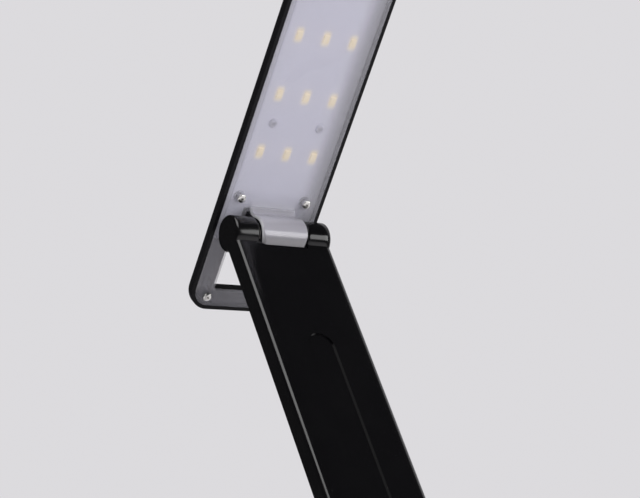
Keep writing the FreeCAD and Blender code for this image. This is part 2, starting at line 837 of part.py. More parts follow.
def tongue_outline(page):
    """Section of the tongue: up from the plate in a hollow curve, then round the knuckle."""
    outer = d.tongue_radius
    inner = outer - d.panel_thickness
    bend = d.tongue_fillet
    bend_z = bend - d.hinge_offset
    bend_y = ((outer + bend) * (outer + bend) - bend_z * bend_z).root()
    reach = outer + bend
    level = -d.hinge_offset
    lip = d.parting
    outline(page, [
        (bend_y, level),
        (bend_y * outer / reach, bend_z * outer / reach),
        (lip, (outer * outer - lip * lip).root()),
        (lip, (inner * inner - lip * lip).root()),
        (bend_y * inner / reach, bend_z * inner / reach),
        (bend_y, level - d.panel_thickness),
    ], {0: -bend, 1: outer, 3: -inner, 4: bend + d.panel_thickness})


def make_led_board():
    """Reaches past the centre knuckle on both sides, and is notched round its foot."""
    board = box("led_board_plate", -board_half, board_half, board_start, board_end,
                board_back, board_face)
    notch = leaf_half + d.board_clearance
    holes = [box("led_board_notch", -notch, notch, board_start, board_notch, board_back, board_face)]
    for index, (x, y) in enumerate(board_screws + near_screws):
        holes.append(rod(f"led_board_hole_{index}", x, y, board_back, board_face, clear_hole))
    return minus("led_board", board, together("led_board_holes", holes))


def make_led_chips():
    rows = int((float(board_end) - float(d.led_first)) // float(d.led_pitch_y)) + 1
    chips = []
    for row in range(rows):
        y = d.led_first + row * d.led_pitch_y
        for column in (-1, 0, 1):
            x = column * d.led_pitch_x
            chips.append(box(f"led_{row}_{column + 1}", x - d.led_width / 2, x + d.led_width / 2,
                             y - d.led_length / 2, y + d.led_length / 2,
                             board_face, board_face + d.led_height))
    return group("led_chips", chips)


def make_head_lead():
    drop = head_inside + d.lead_radius + d.panel_gap
    return lead("head_lead", [(0, 0, 0), (-d.lead_drop_x, 0, 0), (-d.lead_drop_x, 0, drop),
                              (-d.lead_drop_x, board_notch + d.head_lead_overlap, drop)], d.lead_bend)


# ---- the arm --------------------------------------------------------------------------------------

def arm_half(name, front):
    """One half of the arm, split through both hinge axes. front is 1 or -1."""
    body = new_body(name)
    backwards = front < 0
    half = d.arm_width / 2
    depth = d.arm_thickness / 2
    page = sketch(body, name + "_slab_outline")
    rectangle(page, -half, half, 0, d.arm_length)
    pad(body, page, depth, name + "_slab", backwards=backwards)
    soften(body, d.arm_edge_radius, name + "_long_edges",
           lambda middle, direction: abs(direction.y) > ALONG and near(middle.z, front * depth))

    for end, y in (("lower", size(0)), ("upper", d.arm_length)):
        page = sketch(body, f"{name}_{end}_knuckle_profile", along=y)
        knuckle_profiles(page)
        turned = body.newObject("PartDesign::Revolution", f"{name}_{end}_knuckles")
        turned.Profile = page
        turned.ReferenceAxis = (page, ["H_Axis"])
        turned.Angle = 180
        turned.Reversed = backwards
        rebuilt(turned)

    page = sketch(body, name + "_fork_section", "YZ_Plane")
    for y in (size(0), d.arm_length):
        circle(page, y, 0, fork_radius)
    pocket(body, page, d.fork_width, name + "_forks", both_ways=True)

    page = sketch(body, name + "_hollow_outline")
    inner = half - d.arm_wall
    room = fork_radius + d.arm_wall
    rectangle(page, -inner, inner, room, d.arm_length - room)
    pocket(body, page, depth - d.arm_wall, name + "_hollow", backwards=not backwards)
    page = sketch(body, name + "_bush_section", "YZ_Plane")
    for y in (size(0), d.arm_length):
        circle(page, y, 0, d.bush_radius)
    pocket(body, page, 2 * bore_end, name + "_bush_bores", both_ways=True)

    page = sketch(body, name + "_lead_channel_plan")
    lead_x = half - d.arm_lead_inset
    near_end = room + OVERRUN
    for start, stop in ((-lead_hole, near_end), (d.arm_length - near_end, d.arm_length + lead_hole)):
        rectangle(page, shaft_end - OVERRUN, lead_x + lead_hole, start, stop)
    pocket(body, page, lead_hole, name + "_lead_channels", backwards=not backwards)

    page = sketch(body, name + "_boss_plan", level=front * (depth - d.arm_wall))
    for x, y in arm_screws:
        circle(page, x, y, d.arm_boss_radius)
    pad(body, page, depth - d.arm_wall, name + "_bosses", backwards=not backwards)
    return body


def knuckle_profiles(page):
    """Half sections of the two knuckles on one hinge, with their round-edged ends."""
    outer = d.arm_width / 2
    inner = d.fork_width / 2
    top = d.barrel_radius
    end = d.barrel_edge_radius
    cheek = d.fork_edge_radius
    outline(page, [(inner, 0), (outer, 0), (outer, top - end), (outer - end, top),
                   (inner + cheek, top), (inner, top - cheek)], {2: end, 4: cheek})
    outline(page, [(-outer, 0), (-inner, 0), (-inner, top - cheek), (-inner - cheek, top),
                   (-outer + end, top), (-outer, top - end)], {2: cheek, 4: end})


def make_arm_front_shell():
    body = arm_half("arm_front_shell", 1)
    depth = d.arm_thickness / 2
    page = sketch(body, "slot_outline", level=depth)
    half = d.slot_width / 2
    far = d.arm_length - d.slot_end
    outline(page, [(-half, d.slot_end), (half, d.slot_end), (half, far), (-half, far)],
            {0: half, 2: half})
    pocket(body, page, d.slot_depth, "slot")
    page = sketch(body, "arm_pilot_plan")
    for x, y in arm_screws:
        circle(page, x, y, pilot_radius)
    pocket(body, page, d.screw_reach, "arm_pilot_holes", backwards=True)
    return body


def make_arm_back_shell():
    body = arm_half("arm_back_shell", -1)
    page = sketch(body, "arm_hole_plan")
    for x, y in arm_screws:
        circle(page, x, y, clear_hole)
    pocket(body, page, d.arm_thickness / 2, "arm_holes")
    page = sketch(body, "arm_counterbore_plan", level=-d.arm_thickness / 2)
    for x, y in arm_screws:
        circle(page, x, y, d.screw_head_radius + d.panel_gap)
    pocket(body, page, arm_counterbore, "arm_counterbores", backwards=True)
    return body


def make_arm_lead():
    """Runs down the side of the arm, and into the hollow shaft at each end."""
    side = d.arm_width / 2 - d.arm_lead_inset
    return lead("arm_lead", [(0, 0, 0), (side, 0, 0), (side, d.arm_length, 0), (0, d.arm_length, 0)],
                d.arm_lead_bend)


# ---- the base -------------------------------------------------------------------------------------

def base_block(body, name, level, height, edge_level):
    page = sketch(body, name + "_outline", level=level)
    inset_outline(page, d.base_width, d.base_reach, size(0))
    window(page)
    pad(body, page, height, name + "_block")
    soften(body, d.base_edge_radius, name + "_edge",
           lambda middle, direction: near(middle.z, edge_level) and outside_window(middle))


def base_cavity(body, name, level, depth, backwards):
    """Hollows the slab and leaves a wall round the window."""
    page = sketch(body, name + "_cavity_outline", level=level)
    inset_outline(page, d.base_width, d.base_reach, d.base_wall)
    window(page, d.base_wall)
    pocket(body, page, depth, name + "_cavity", backwards=backwards)


def make_base_shell():
    """The lower half of the base, with the floor that carries everything inside."""
    body = new_body("base_shell")
    tall = d.base_height - d.base_cover_height
    base_block(body, "base_shell", base_bottom, tall, base_bottom)
    base_cavity(body, "base_shell", base_joint, base_joint - base_floor, False)

    page = sketch(body, "base_boss_plan", level=base_floor)
    for x, y in base_screws:
        circle(page, x, y, d.base_boss_radius)
    pad(body, page, base_joint - base_floor, "base_bosses")
    page = sketch(body, "control_post_plan", level=base_floor)
    for x, y in control_screws:
        circle(page, x, y, boss_radius)
    pad(body, page, d.control_lift, "control_posts")
    page = sketch(body, "control_pilot_plan", level=control_back)
    for x, y in control_screws:
        circle(page, x, y, pilot_radius)
    pocket(body, page, d.control_lift, "control_pilots")

    page = sketch(body, "base_hole_plan", level=base_joint)
    for x, y in base_screws:
        circle(page, x, y, clear_hole)
    pocket(body, page, d.base_height, "base_holes")
    page = sketch(body, "base_counterbore_plan", level=base_bottom)
    for x, y in base_screws:
        circle(page, x, y, d.screw_head_radius + d.panel_gap)
    pocket(body, page, base_counterbore, "base_counterbores", backwards=True)
    page = sketch(body, "foot_recess_plan", level=base_bottom)
    for x, y in foot_places:
        circle(page, x, y, d.foot_radius + d.panel_gap)
    pocket(body, page, d.foot_recess, "foot_recesses", backwards=True)

    page = sketch(body, "inlet_outline", "XZ_Plane", level=-(d.base_reach + OVERRUN))
    socket_section(page, d.socket_gap)
    pocket(body, page, d.base_wall + 2 * OVERRUN, "inlet", backwards=True)
    return body


def socket_section(page, spare):
    """The round-ended mouth of the inlet, on the board's face."""
    half = d.socket_width / 2 + spare
    low = control_face - spare
    high = control_face + d.socket_height + spare
    flat = half - (high - low) / 2
    outline(page, [(-flat, low), (flat, low), (flat, high), (-flat, high)],
            {1: (high - low) / 2, 3: (high - low) / 2})


def make_base_cover():
    """The top of the base, with the centre knuckle of the lower hinge."""
    body = new_body("base_cover")
    base_block(body, "base_cover", base_joint, d.base_cover_height, base_top)
    base_cavity(body, "base_cover", base_joint, base_ceiling - base_joint, True)
    page = sketch(body, "cover_boss_plan", level=base_ceiling)
    for x, y in base_screws:
        circle(page, x, y, d.base_boss_radius)
    pad(body, page, base_ceiling - base_joint, "cover_bosses", backwards=True)
    page = sketch(body, "cover_pilot_plan", level=base_joint)
    for x, y in base_screws:
        circle(page, x, y, pilot_radius)
    pocket(body, page, base_ceiling - base_joint, "cover_pilots", backwards=True)

    page = sketch(body, "base_knuckle_section", "YZ_Plane")
    circle(page, 0, 0, knuckle_radius)
    pad(body, page, 2 * leaf_half, "base_knuckle", both_ways=True)
    page = sketch(body, "base_web_section", "YZ_Plane")
    rectangle(page, -web_back, web_back, base_ceiling, 0)
    pad(body, page, 2 * leaf_half, "base_web", both_ways=True)
    for side, name, bend in ((-1, "front", d.saddle_fillet), (1, "rear", d.tongue_fillet)):
        page = sketch(body, f"{name}_saddle_section", "YZ_Plane")
        saddle(page, side, bend)
        pad(body, page, 2 * leaf_half, f"{name}_saddle", both_ways=True)
    hinge_bore(body)
    lead_slot(body, lead_hole, base_ceiling)

    page = sketch(body, "button_hole_plan", level=base_top)
    circle(page, 0, button_y, d.button_radius + d.button_gap)
    circle(page, d.lens_x, button_y, d.lens_radius + d.seat_gap)
    pocket(body, page, d.base_wall, "button_hole")
    return body


def make_rubber_feet():
    low = base_bottom - d.foot_height
    high = base_bottom + d.foot_recess
    return group("rubber_feet", [rod(f"foot_{index}", x, y, low, high, d.foot_radius)
                                 for index, (x, y) in enumerate(foot_places)])


def make_ballast_plate():
    block = box("ballast_block", -ballast_half, ballast_half, d.ballast_start, ballast_end,
                base_floor, base_floor + d.ballast_thickness)
    return group("ballast_plate", [block])


def make_cell_pad():
    sheet_of_foam = box("foam_sheet", -d.cell_width / 2, d.cell_width / 2, cell_start, cell_end,
                        base_floor, base_floor + d.cell_pad)
    return group("cell_pad", [sheet_of_foam])


def make_battery_cell():
    body = new_body("battery_cell")
    page = sketch(body, "cell_plan", level=base_floor + d.cell_pad)
    rectangle(page, -d.cell_width / 2, d.cell_width / 2, cell_start, cell_end)
    pad(body, page, d.cell_thickness, "cell_block")
    soften(body, d.cell_edge_radius, "cell_edges", lambda middle, direction: abs(direction.y) > ALONG)
    return body


def make_control_board():
    plate = box("control_plate", -d.control_width / 2, d.control_width / 2, control_start, control_end,
                control_back, control_face)
    holes = [rod(f"control_hole_{index}", x, y, control_back, control_face, clear_hole)
             for index, (x, y) in enumerate(control_screws)]
    return minus("control_board", plate, together("control_holes", holes))


def make_board_components():
    """The charger chip, the driver chip and the driver's coil."""
    y = button_y - d.switch_width - d.chip_size
    pitch = (d.chip_size + d.coil_size) / 2 + d.chip_gap
    parts = []
    for column, side, height in ((-1, d.chip_size, d.chip_height), (0, d.coil_size, d.coil_height),
                                 (1, d.chip_size, d.chip_height)):
        x = column * pitch
        parts.append(box(f"component_{column + 1}", x - side / 2, x + side / 2, y - side / 2, y + side / 2,
                         control_face, control_face + height))
    return group("board_components", parts)


def make_power_switch():
    half = d.switch_width / 2
    case = box("switch_case", -half, half, button_y - half, button_y + half, control_face,
               control_face + d.switch_height)
    plunger = rod("switch_plunger", 0, button_y, control_face + d.switch_height, switch_top,
                  d.button_stem_radius)
    return together("power_switch", [case, plunger])


def make_power_button():
    body = new_body("power_button")
    page = sketch(body, "button_plan", level=flange_top)
    circle(page, 0, button_y, d.button_radius)
    pad(body, page, button_top - flange_top, "button_cap")
    soften(body, d.button_edge_radius, "button_edge",
           lambda middle, direction: near(middle.z, button_top))
    page = sketch(body, "flange_plan", level=flange_top)
    circle(page, 0, button_y, d.button_radius + d.button_flange)
    pad(body, page, d.button_flange_thickness, "flange", backwards=True)
    page = sketch(body, "stem_plan", level=flange_bottom)
    circle(page, 0, button_y, d.button_stem_radius)
    pad(body, page, flange_bottom - stem_bottom, "stem", backwards=True)
    return body


def make_charge_lens():
    """A light pipe from the board to the top of the base."""
    return group("charge_lens", [rod("light_pipe", d.lens_x, button_y, control_face, base_top,
                                     d.lens_radius)])


def make_inlet_socket():
    body = new_body("inlet_socket")
    back = d.base_reach - d.socket_depth
    page = sketch(body, "socket_outline", "XZ_Plane", level=-back)
    socket_section(page, 0)
    pad(body, page, d.socket_depth, "socket_case", backwards=True)
    page = sketch(body, "socket_mouth_outline", "XZ_Plane", level=-d.base_reach)
    socket_section(page, -d.socket_shell)
    pocket(body, page, d.socket_depth - d.socket_back, "socket_mouth", backwards=True)
    page = sketch(body, "socket_tongue_outline", "XZ_Plane", level=-back)
    middle = control_face + d.socket_height / 2
    rectangle(page, -d.blade_width / 2, d.blade_width / 2, middle - d.blade_thickness / 2,
              middle + d.blade_thickness / 2)
    pad(body, page, d.socket_depth - d.blade_setback, "socket_tongue", backwards=True)
    return body


def make_battery_plug():
    y = control_start
    return group("battery_plug", [box("plug_block", d.plug_x - d.plug_width / 2, d.plug_x + d.plug_width / 2,
                                      y, y + d.plug_length, control_face, control_face + d.plug_height)])


def make_battery_lead():
    z = control_face + d.plug_height / 2
    return lead("battery_lead", [(d.plug_x, cell_end, z), (d.plug_x, control_start, z)], d.lead_bend)


def make_base_lead():
    """Down from the shaft, along the side of the base and up to the control board."""
    run = base_joint - d.base_lead_drop
    side = d.base_lead_inset - d.base_width / 2
    board_x = side + d.base_lead_step
    turn = d.ballast_start - d.base_lead_clearance
    before = control_start - d.base_lead_overlap
    return lead("base_lead", [(0, 0, 0), (-d.lead_drop_x, 0, 0), (-d.lead_drop_x, 0, run),
                              (-d.lead_drop_x, turn, run), (side, turn, run), (side, before, run),
                              (board_x, before, run), (board_x, control_start + d.base_lead_overlap, run)],
                d.lead_bend)


# ---- the whole lamp -------------------------------------------------------------------------------

def build_head():
    in_head(make_head_shell(), "head_shell")
    in_head(make_head_cover(), "head_cover")
    in_head(make_led_board(), "led_board")
    in_head(make_led_chips(), "led_chips")
    panel_reach = head_face - head_inside - d.screw_spare
    in_head(screws("panel_screws", panel_screws, head_face, panel_reach), "panel_screws")
    in_head(screws("loop_screws", loop_screws, head_face, d.screw_reach), "loop_screws")
    board_reach = board_face - head_inside - d.panel_gap
    in_head(screws("led_board_screws", board_screws, board_face, board_reach,
                   head_height=d.low_head_height), "led_board_screws")
    in_head(shaft("upper_hinge_shaft"), "upper_hinge_shaft")
    in_head(make_head_lead(), "head_lead")


def build_arm():
    in_arm(make_arm_front_shell(), "arm_front_shell")
    in_arm(make_arm_back_shell(), "arm_back_shell")
    seat = arm_counterbore - d.arm_thickness / 2
    reach = d.screw_reach - seat - d.screw_spare
    in_arm(screws("arm_screws", arm_screws, seat, reach, up=-1), "arm_screws")
    in_arm(make_arm_lead(), "arm_lead")
    for level, angle, y, z in (("lower", d.arm_angle, low_axis_y, low_axis_z),
                               ("upper", d.arm_angle, high_axis_y, high_axis_z)):
        for kind, make in (("hinge_bushes", bushes), ("friction_clips", friction_clips),
                           ("thrust_washers", washers)):
            name = f"{level}_{kind}"
            stand(make(name), name, angle, y, z)


def build_base():
    in_base(make_base_shell(), "base_shell")
    in_base(make_base_cover(), "base_cover")
    seat = base_bottom + base_counterbore
    reach = base_ceiling - seat - d.screw_spare
    in_base(screws("base_cover_screws", base_screws, seat, reach, up=-1),
            "base_cover_screws")
    in_base(make_rubber_feet(), "rubber_feet")
    in_base(make_ballast_plate(), "ballast_plate")
    in_base(make_cell_pad(), "cell_pad")
    in_base(make_battery_cell(), "battery_cell")
    in_base(make_control_board(), "control_board")
    in_base(screws("control_board_screws", control_screws, control_face,
                   control_face - base_floor - d.panel_gap), "control_board_screws")
    in_base(make_board_components(), "board_components")
    in_base(make_power_switch(), "power_switch")
    in_base(make_power_button(), "power_button")
    in_base(make_charge_lens(), "charge_lens")
    in_base(make_inlet_socket(), "inlet_socket")
    in_base(make_battery_plug(), "battery_plug")
    in_base(make_battery_lead(), "battery_lead")
    in_base(make_base_lead(), "base_lead")
    in_base(shaft("lower_hinge_shaft"), "lower_hinge_shaft")


build_head()
build_arm()
build_base()
doc.recompute()

for thing in doc.Objects:
    if {"Invalid", "Error"} & set(thing.State):
        raise RuntimeError(f"{thing.Name} failed: {thing.State}")
for piece in pieces:
    if piece.Shape.isNull() or not piece.Shape.isValid():
        raise RuntimeError(f"{piece.Label} has no sound shape")

os.makedirs("parts", exist_ok=True)
for piece in pieces:
    piece.Shape.exportStep(f"parts/{piece.Label}.step")
    print(f"{piece.Label}: {len(piece.Shape.Solids)} solid(s), {piece.Shape.Volume / 1000:.2f} cm3")
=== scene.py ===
# %% [markdown]
# # A folding desk lamp, dressed for its portrait
# The solids of this lamp come from a CAD model and arrive here as a fixed frame: an open tray of a
# head, a slab arm and a flat base, joined by two hinges. Blender doesn't move them. It gives each
# piece its finish, replaces the small fasteners and the light chips with more detailed ones, and sets
# up the camera, the lights and the floor. Lengths are in metres throughout, so a value in
# millimetres is written with the factor MM.

# %% Load the frame
import json
import math

import bpy
import numpy as np
from mathutils import Matrix, Vector


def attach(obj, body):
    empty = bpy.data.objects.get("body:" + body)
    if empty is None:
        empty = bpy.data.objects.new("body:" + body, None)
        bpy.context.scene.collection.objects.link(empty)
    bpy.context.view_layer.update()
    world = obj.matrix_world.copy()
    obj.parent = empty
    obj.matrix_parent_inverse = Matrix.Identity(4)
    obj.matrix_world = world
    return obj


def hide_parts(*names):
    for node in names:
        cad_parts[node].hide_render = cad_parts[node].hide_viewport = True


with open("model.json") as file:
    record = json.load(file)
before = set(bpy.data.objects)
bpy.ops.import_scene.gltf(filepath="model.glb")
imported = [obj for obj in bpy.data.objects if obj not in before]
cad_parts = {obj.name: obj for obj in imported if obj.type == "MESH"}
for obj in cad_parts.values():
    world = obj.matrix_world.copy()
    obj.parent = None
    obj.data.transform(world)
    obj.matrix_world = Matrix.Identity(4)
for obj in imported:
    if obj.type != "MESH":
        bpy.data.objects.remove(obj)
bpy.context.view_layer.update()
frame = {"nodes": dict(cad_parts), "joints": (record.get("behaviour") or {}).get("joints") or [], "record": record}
nodes = frame["nodes"]
joints = {joint["name"]: joint for joint in frame["joints"]}
MM = 0.001

# %% [markdown]
# ## Where things are
# The head and the arm stand at an angle, so each has its own flat coordinates: x along its hinge, y
# along the slab away from the hinge, z out of the slab's face. One matrix for each slab turns flat
# coordinates into the standing lamp. The hinges are read from the joints. The head's direction is
# read from its board, the longest straight plate in it: the first principal axis of the board's
# points is the direction in which they spread most.

# %% Flat coordinates of the head and the arm
lower_hinge = Vector(joints["base_hinge"]["pos_m"])
upper_hinge = Vector(joints["head_hinge"]["pos_m"])


def long_direction(node):
    points = np.unique([[round(c, 7) for c in vertex.co] for vertex in nodes[node].data.vertices], axis=0)
    points = points - (points.max(0) + points.min(0)) / 2
    return Vector(np.linalg.svd(points, full_matrices=False)[2][0])


def flat_frame(hinge, along):
    across = Vector((1, 0, 0))
    along = Vector((0, along.y, along.z)).normalized()
    columns = Matrix((across, along, across.cross(along))).transposed()
    return Matrix.Translation(hinge) @ columns.to_4x4()


def tilt_of(flat):
    """The angle between the length of a slab and the floor."""
    return math.atan2(flat[2][1], flat[1][1])


head_direction = long_direction("led_board")
if head_direction.z < 0:
    head_direction = -head_direction
head_flat = flat_frame(upper_hinge, head_direction)
arm_flat = flat_frame(lower_hinge, upper_hinge - lower_hinge)
for slab, flat in (("head", head_flat), ("arm", arm_flat)):
    print(f"{slab} at {math.degrees(tilt_of(flat)):.2f} degrees to the floor")

# %% [markdown]
# Three things in the head are measured in its flat coordinates: the board, the chips on it, and the
# flat face of the cover. The highest point of the cover is on its tongue, so the face is measured on
# a strip at the far end.

# %% Board, chips and cover in flat coordinates
FAR_STRIP = 10.0 * MM


def flat_box(node, flat):
    """Lowest and highest corner of a node, measured in the flat coordinates of its slab."""
    back = flat.inverted()
    points = [back @ vertex.co for vertex in nodes[node].data.vertices]
    return (Vector(map(min, zip(*points))), Vector(map(max, zip(*points))))


board_low, board_high = flat_box("led_board", head_flat)
chips_low, chips_high = flat_box("led_chips", head_flat)
cover_points = [head_flat.inverted() @ vertex.co for vertex in nodes["head_cover"].data.vertices]
cover_face = max(point.z for point in cover_points if point.y > board_high.y - FAR_STRIP)
print(f"face of the cover {cover_face / MM:.2f} mm from the hinge, its board {board_high.z / MM:.2f} mm")

# %% [markdown]
# ## Camera
# A long lens from a little below the upper hinge, well to the left of the lamp's front. Place,
# direction and lens were fitted to the lights, screws and edges of the lamp, so they are measured
# from the upper hinge. A camera at rest looks down its own -Z, so it is first raised to the horizon
# and then pitched and turned.

# %% Camera
CAMERA_FROM_HINGE = Vector((-0.4222, -0.6652, -0.1000))
CAMERA_YAW = math.radians(33.865)      # from +Y towards +X
CAMERA_PITCH = math.radians(6.859)     # upwards
SENSOR = 36.0
LENS = 99.73

camera_data = bpy.data.cameras.new("portrait_camera")
camera_data.sensor_width = SENSOR
camera_data.lens = LENS
camera_data.clip_start = 0.01
camera_data.clip_end = 50
camera = bpy.data.objects.new("portrait_camera", camera_data)
camera.location = upper_hinge + CAMERA_FROM_HINGE
camera.rotation_euler = (math.pi / 2 + CAMERA_PITCH, 0, -CAMERA_YAW)
bpy.context.scene.collection.objects.link(camera)
bpy.context.scene.camera = camera
print("camera", tuple(round(c, 3) for c in camera.location))

# %% [markdown]
# ## Helpers for node trees
# A material is a small program of nodes. Four helpers keep that readable: add makes a node and fills
# in its inputs, where an input given as a socket is linked and anything else is a constant, maths and
# ramp are the two kinds of node that are used most, and shader_group starts a reusable group of
# nodes with named inputs and outputs.

# %% Helpers for node trees
def add(tree, kind, settings=None, **inputs):
    """A node of a tree. An input named in_NAME or in_0 is found by name or by number."""
    node = tree.nodes.new(kind)
    for key, value in (settings or {}).items():
        setattr(node, key, value)
    for key, value in inputs.items():
        key = key.replace("_", " ").removeprefix("in ")
        socket = node.inputs[int(key)] if key.isdigit() else node.inputs[key]
        if isinstance(value, bpy.types.NodeSocket):
            tree.links.new(value, socket)
        else:
            socket.default_value = value
    return node


def maths(tree, operation, first, second=0.0, third=0.0):
    """A step of arithmetic. The later inputs are for the operations that have them."""
    node = add(tree, "ShaderNodeMath", {"operation": operation}, in_0=first, in_1=second, in_2=third)
    return node.outputs[0]


def ramp(tree, value, low, high, start=0.0, stop=1.0):
    """value from low to high becomes start to stop, with soft ends."""
    node = add(tree, "ShaderNodeMapRange", {"interpolation_type": "SMOOTHSTEP"}, Value=value,
               From_Min=low, From_Max=high, To_Min=start, To_Max=stop)
    return node.outputs["Result"]


SOCKETS = {"value": "NodeSocketFloat", "vector": "NodeSocketVector", "colour": "NodeSocketColor"}


def shader_group(name, inputs, outputs):
    """An empty shader node group, with its input and output nodes."""
    tree = bpy.data.node_groups.new(name, "ShaderNodeTree")
    for label, (kind, default) in inputs.items():
        socket = tree.interface.new_socket(label, in_out="INPUT", socket_type=SOCKETS[kind])
        if default is not None:
            socket.default_value = default
    for label, kind in outputs.items():
        tree.interface.new_socket(label, in_out="OUTPUT", socket_type=SOCKETS[kind])
    return tree, tree.nodes.new("NodeGroupInput"), tree.nodes.new("NodeGroupOutput")


print("kinds of group socket:", ", ".join(SOCKETS))

# %% [markdown]
# ## Effect: moulded skin
# Plastic from a mould is never quite flat. It has a fine grain from the tool's surface and a slow
# waviness where the wall shrank, and hands leave faint smears that change its roughness. The group
# gives a height for a Bump node and a roughness. The grain's size is in cells per metre, because
# the textures read object coordinates, which are metres.

# %% Group: moulded skin
SMEARS = 28.0                      # smears to the metre
SMEAR_RANGE = (0.42, 0.68)         # the noise values between which a smear fades in


def make_moulded_skin():
    tree, start, end = shader_group(
        "moulded_skin",
        {"Place": ("vector", None), "Grain": ("value", 2500.0), "Waves": ("value", 60.0),
         "Wave share": ("value", 0.5), "Smooth": ("value", 0.1), "Smeared": ("value", 0.2)},
        {"Height": "value", "Roughness": "value"})
    place = start.outputs["Place"]
    grain = add(tree, "ShaderNodeTexNoise", Vector=place, Scale=start.outputs["Grain"], Detail=2.0)
    waves = add(tree, "ShaderNodeTexNoise", Vector=place, Scale=start.outputs["Waves"], Detail=1.0)
    smear = add(tree, "ShaderNodeTexNoise", Vector=place, Scale=SMEARS, Detail=4.0,
                Roughness=0.6, Distortion=0.8)
    slow = maths(tree, "MULTIPLY", waves.outputs["Fac"], start.outputs["Wave share"])
    fine = maths(tree, "MULTIPLY", grain.outputs["Fac"],
                 maths(tree, "SUBTRACT", 1.0, start.outputs["Wave share"]))
    tree.links.new(maths(tree, "ADD", slow, fine), end.inputs["Height"])
    mask = ramp(tree, smear.outputs["Fac"], *SMEAR_RANGE)
    spread = maths(tree, "SUBTRACT", start.outputs["Smeared"], start.outputs["Smooth"])
    tree.links.new(maths(tree, "MULTIPLY_ADD", mask, spread, start.outputs["Smooth"]),
                   end.inputs["Roughness"])
    return tree


moulded_skin = make_moulded_skin()
print("group", moulded_skin.name)

# %% [markdown]
# ## Effect: dust and hairlines
# Black gloss shows every speck. Dust settles as sparse points: the distance to the nearest cell
# centre of a Voronoi texture, kept only where it is tiny and where a second, slower noise allows it.
# Hairlines are a noise stretched far more along one direction than across it.

# %% Group: dust and hairlines
DUST_DRIFTS = 70.0                 # drifts of dust to the metre
DUST_RANGE = (0.5, 0.75)
LINE_STRETCH = (1.0, 0.012, 1.0)   # a noise squeezed along y looks drawn out along it
LINE_RANGE = (0.66, 0.74)


def make_handling_marks():
    tree, start, end = shader_group(
        "handling_marks",
        {"Place": ("vector", None), "Specks": ("value", 260.0), "Speck size": ("value", 0.07),
         "Lines": ("value", 900.0), "Line share": ("value", 0.2)},
        {"Dust": "value", "Lines": "value"})
    place = start.outputs["Place"]
    cells = add(tree, "ShaderNodeTexVoronoi", Vector=place, Scale=start.outputs["Specks"])
    where = add(tree, "ShaderNodeTexNoise", Vector=place, Scale=DUST_DRIFTS, Detail=3.0)
    speck = maths(tree, "LESS_THAN", cells.outputs["Distance"],
                  maths(tree, "MULTIPLY", start.outputs["Speck size"],
                        ramp(tree, where.outputs["Fac"], *DUST_RANGE)))
    tree.links.new(speck, end.inputs["Dust"])
    stretched = add(tree, "ShaderNodeVectorMath", {"operation": "MULTIPLY"}, in_0=place,
                    in_1=LINE_STRETCH)
    streaks = add(tree, "ShaderNodeTexNoise", Vector=stretched.outputs[0],
                  Scale=start.outputs["Lines"], Detail=3.0, Roughness=0.7)
    lines = ramp(tree, streaks.outputs["Fac"], *LINE_RANGE)
    tree.links.new(maths(tree, "MULTIPLY", lines, start.outputs["Line share"]), end.inputs["Lines"])
    return tree


handling_marks = make_handling_marks()
print("group", handling_marks.name)

# %% [markdown]
# ## Starting a material
# Each main finish has a function of its own. All of them start the same way: a Principled BSDF, the
# object coordinates turned flat so that x, y and z run as on the slab, and a bump fed by the skin.
# Constants stay on the shader's own sockets, and only what changes over the surface is linked. Each
# finish is kept under the slot of the record that it belongs to.

# %% Starting a material
finishes = {}


def new_material(name, colour, **sockets):
    material = bpy.data.materials.new(name)
    material.use_nodes = True
    tree = material.node_tree
    shader = tree.nodes["Principled BSDF"]
    shader.inputs["Base Color"].default_value = (*colour, 1.0)
    for key, value in sockets.items():
        shader.inputs[key.replace("_", " ")].default_value = value
    material.diffuse_color = (*colour, 1.0)
    return material, tree, shader


def flat_place(tree, flat=None):
    """Object coordinates, turned into the flat coordinates of a slab."""
    place = tree.nodes.new("ShaderNodeTexCoord").outputs["Object"]
    if flat is None:
        return place
    centred = add(tree, "ShaderNodeVectorMath", {"operation": "SUBTRACT"}, in_0=place,
                  in_1=tuple(flat.translation)).outputs[0]
    turned = add(tree, "ShaderNodeMapping", {"vector_type": "POINT"}, Vector=centred,
                 Rotation=(-tilt_of(flat), 0.0, 0.0))
    return turned.outputs[0]


def grouped(tree, group, **inputs):
    return add(tree, "ShaderNodeGroup", {"node_tree": group}, **inputs)


def bumped(tree, shader, height, distance):
    bump = add(tree, "ShaderNodeBump", Height=height, Distance=distance, Strength=1.0)
    tree.links.new(bump.outputs["Normal"], shader.inputs["Normal"])


def skinned(name, colour, smooth, smeared, depth, flat=None, grain=2500.0, waves=60.0,
            wave_share=0.5, roll=(), **sockets):
    """A moulded plastic or rubber. roll says how far each side of its face stays flat, and how fast
    it curves down after that, by the cube of the distance."""
    material, tree, shader = new_material(name, colour, **sockets)
    place = flat_place(tree, flat)
    skin = grouped(tree, moulded_skin, Place=place, Grain=grain, Waves=waves, Wave_share=wave_share,
                   Smooth=smooth, Smeared=smeared)
    tree.links.new(skin.outputs["Roughness"], shader.inputs["Roughness"])
    height = skin.outputs["Height"]
    for side, flat_to, rate in roll:
        across = add(tree, "ShaderNodeSeparateXYZ", Vector=place).outputs["X"]
        beyond = maths(tree, "MAXIMUM", maths(tree, "MULTIPLY_ADD", across, side, -flat_to), 0.0)
        fall = maths(tree, "MULTIPLY", maths(tree, "POWER", beyond, 3.0), -rate / depth)
        height = maths(tree, "ADD", height, fall)
    bumped(tree, shader, height, depth)
    return material, tree, shader, place, skin


# %% [markdown]
# Two colours are mixed by a mask in most finishes, and the result of one mix can be the first colour
# of the next.

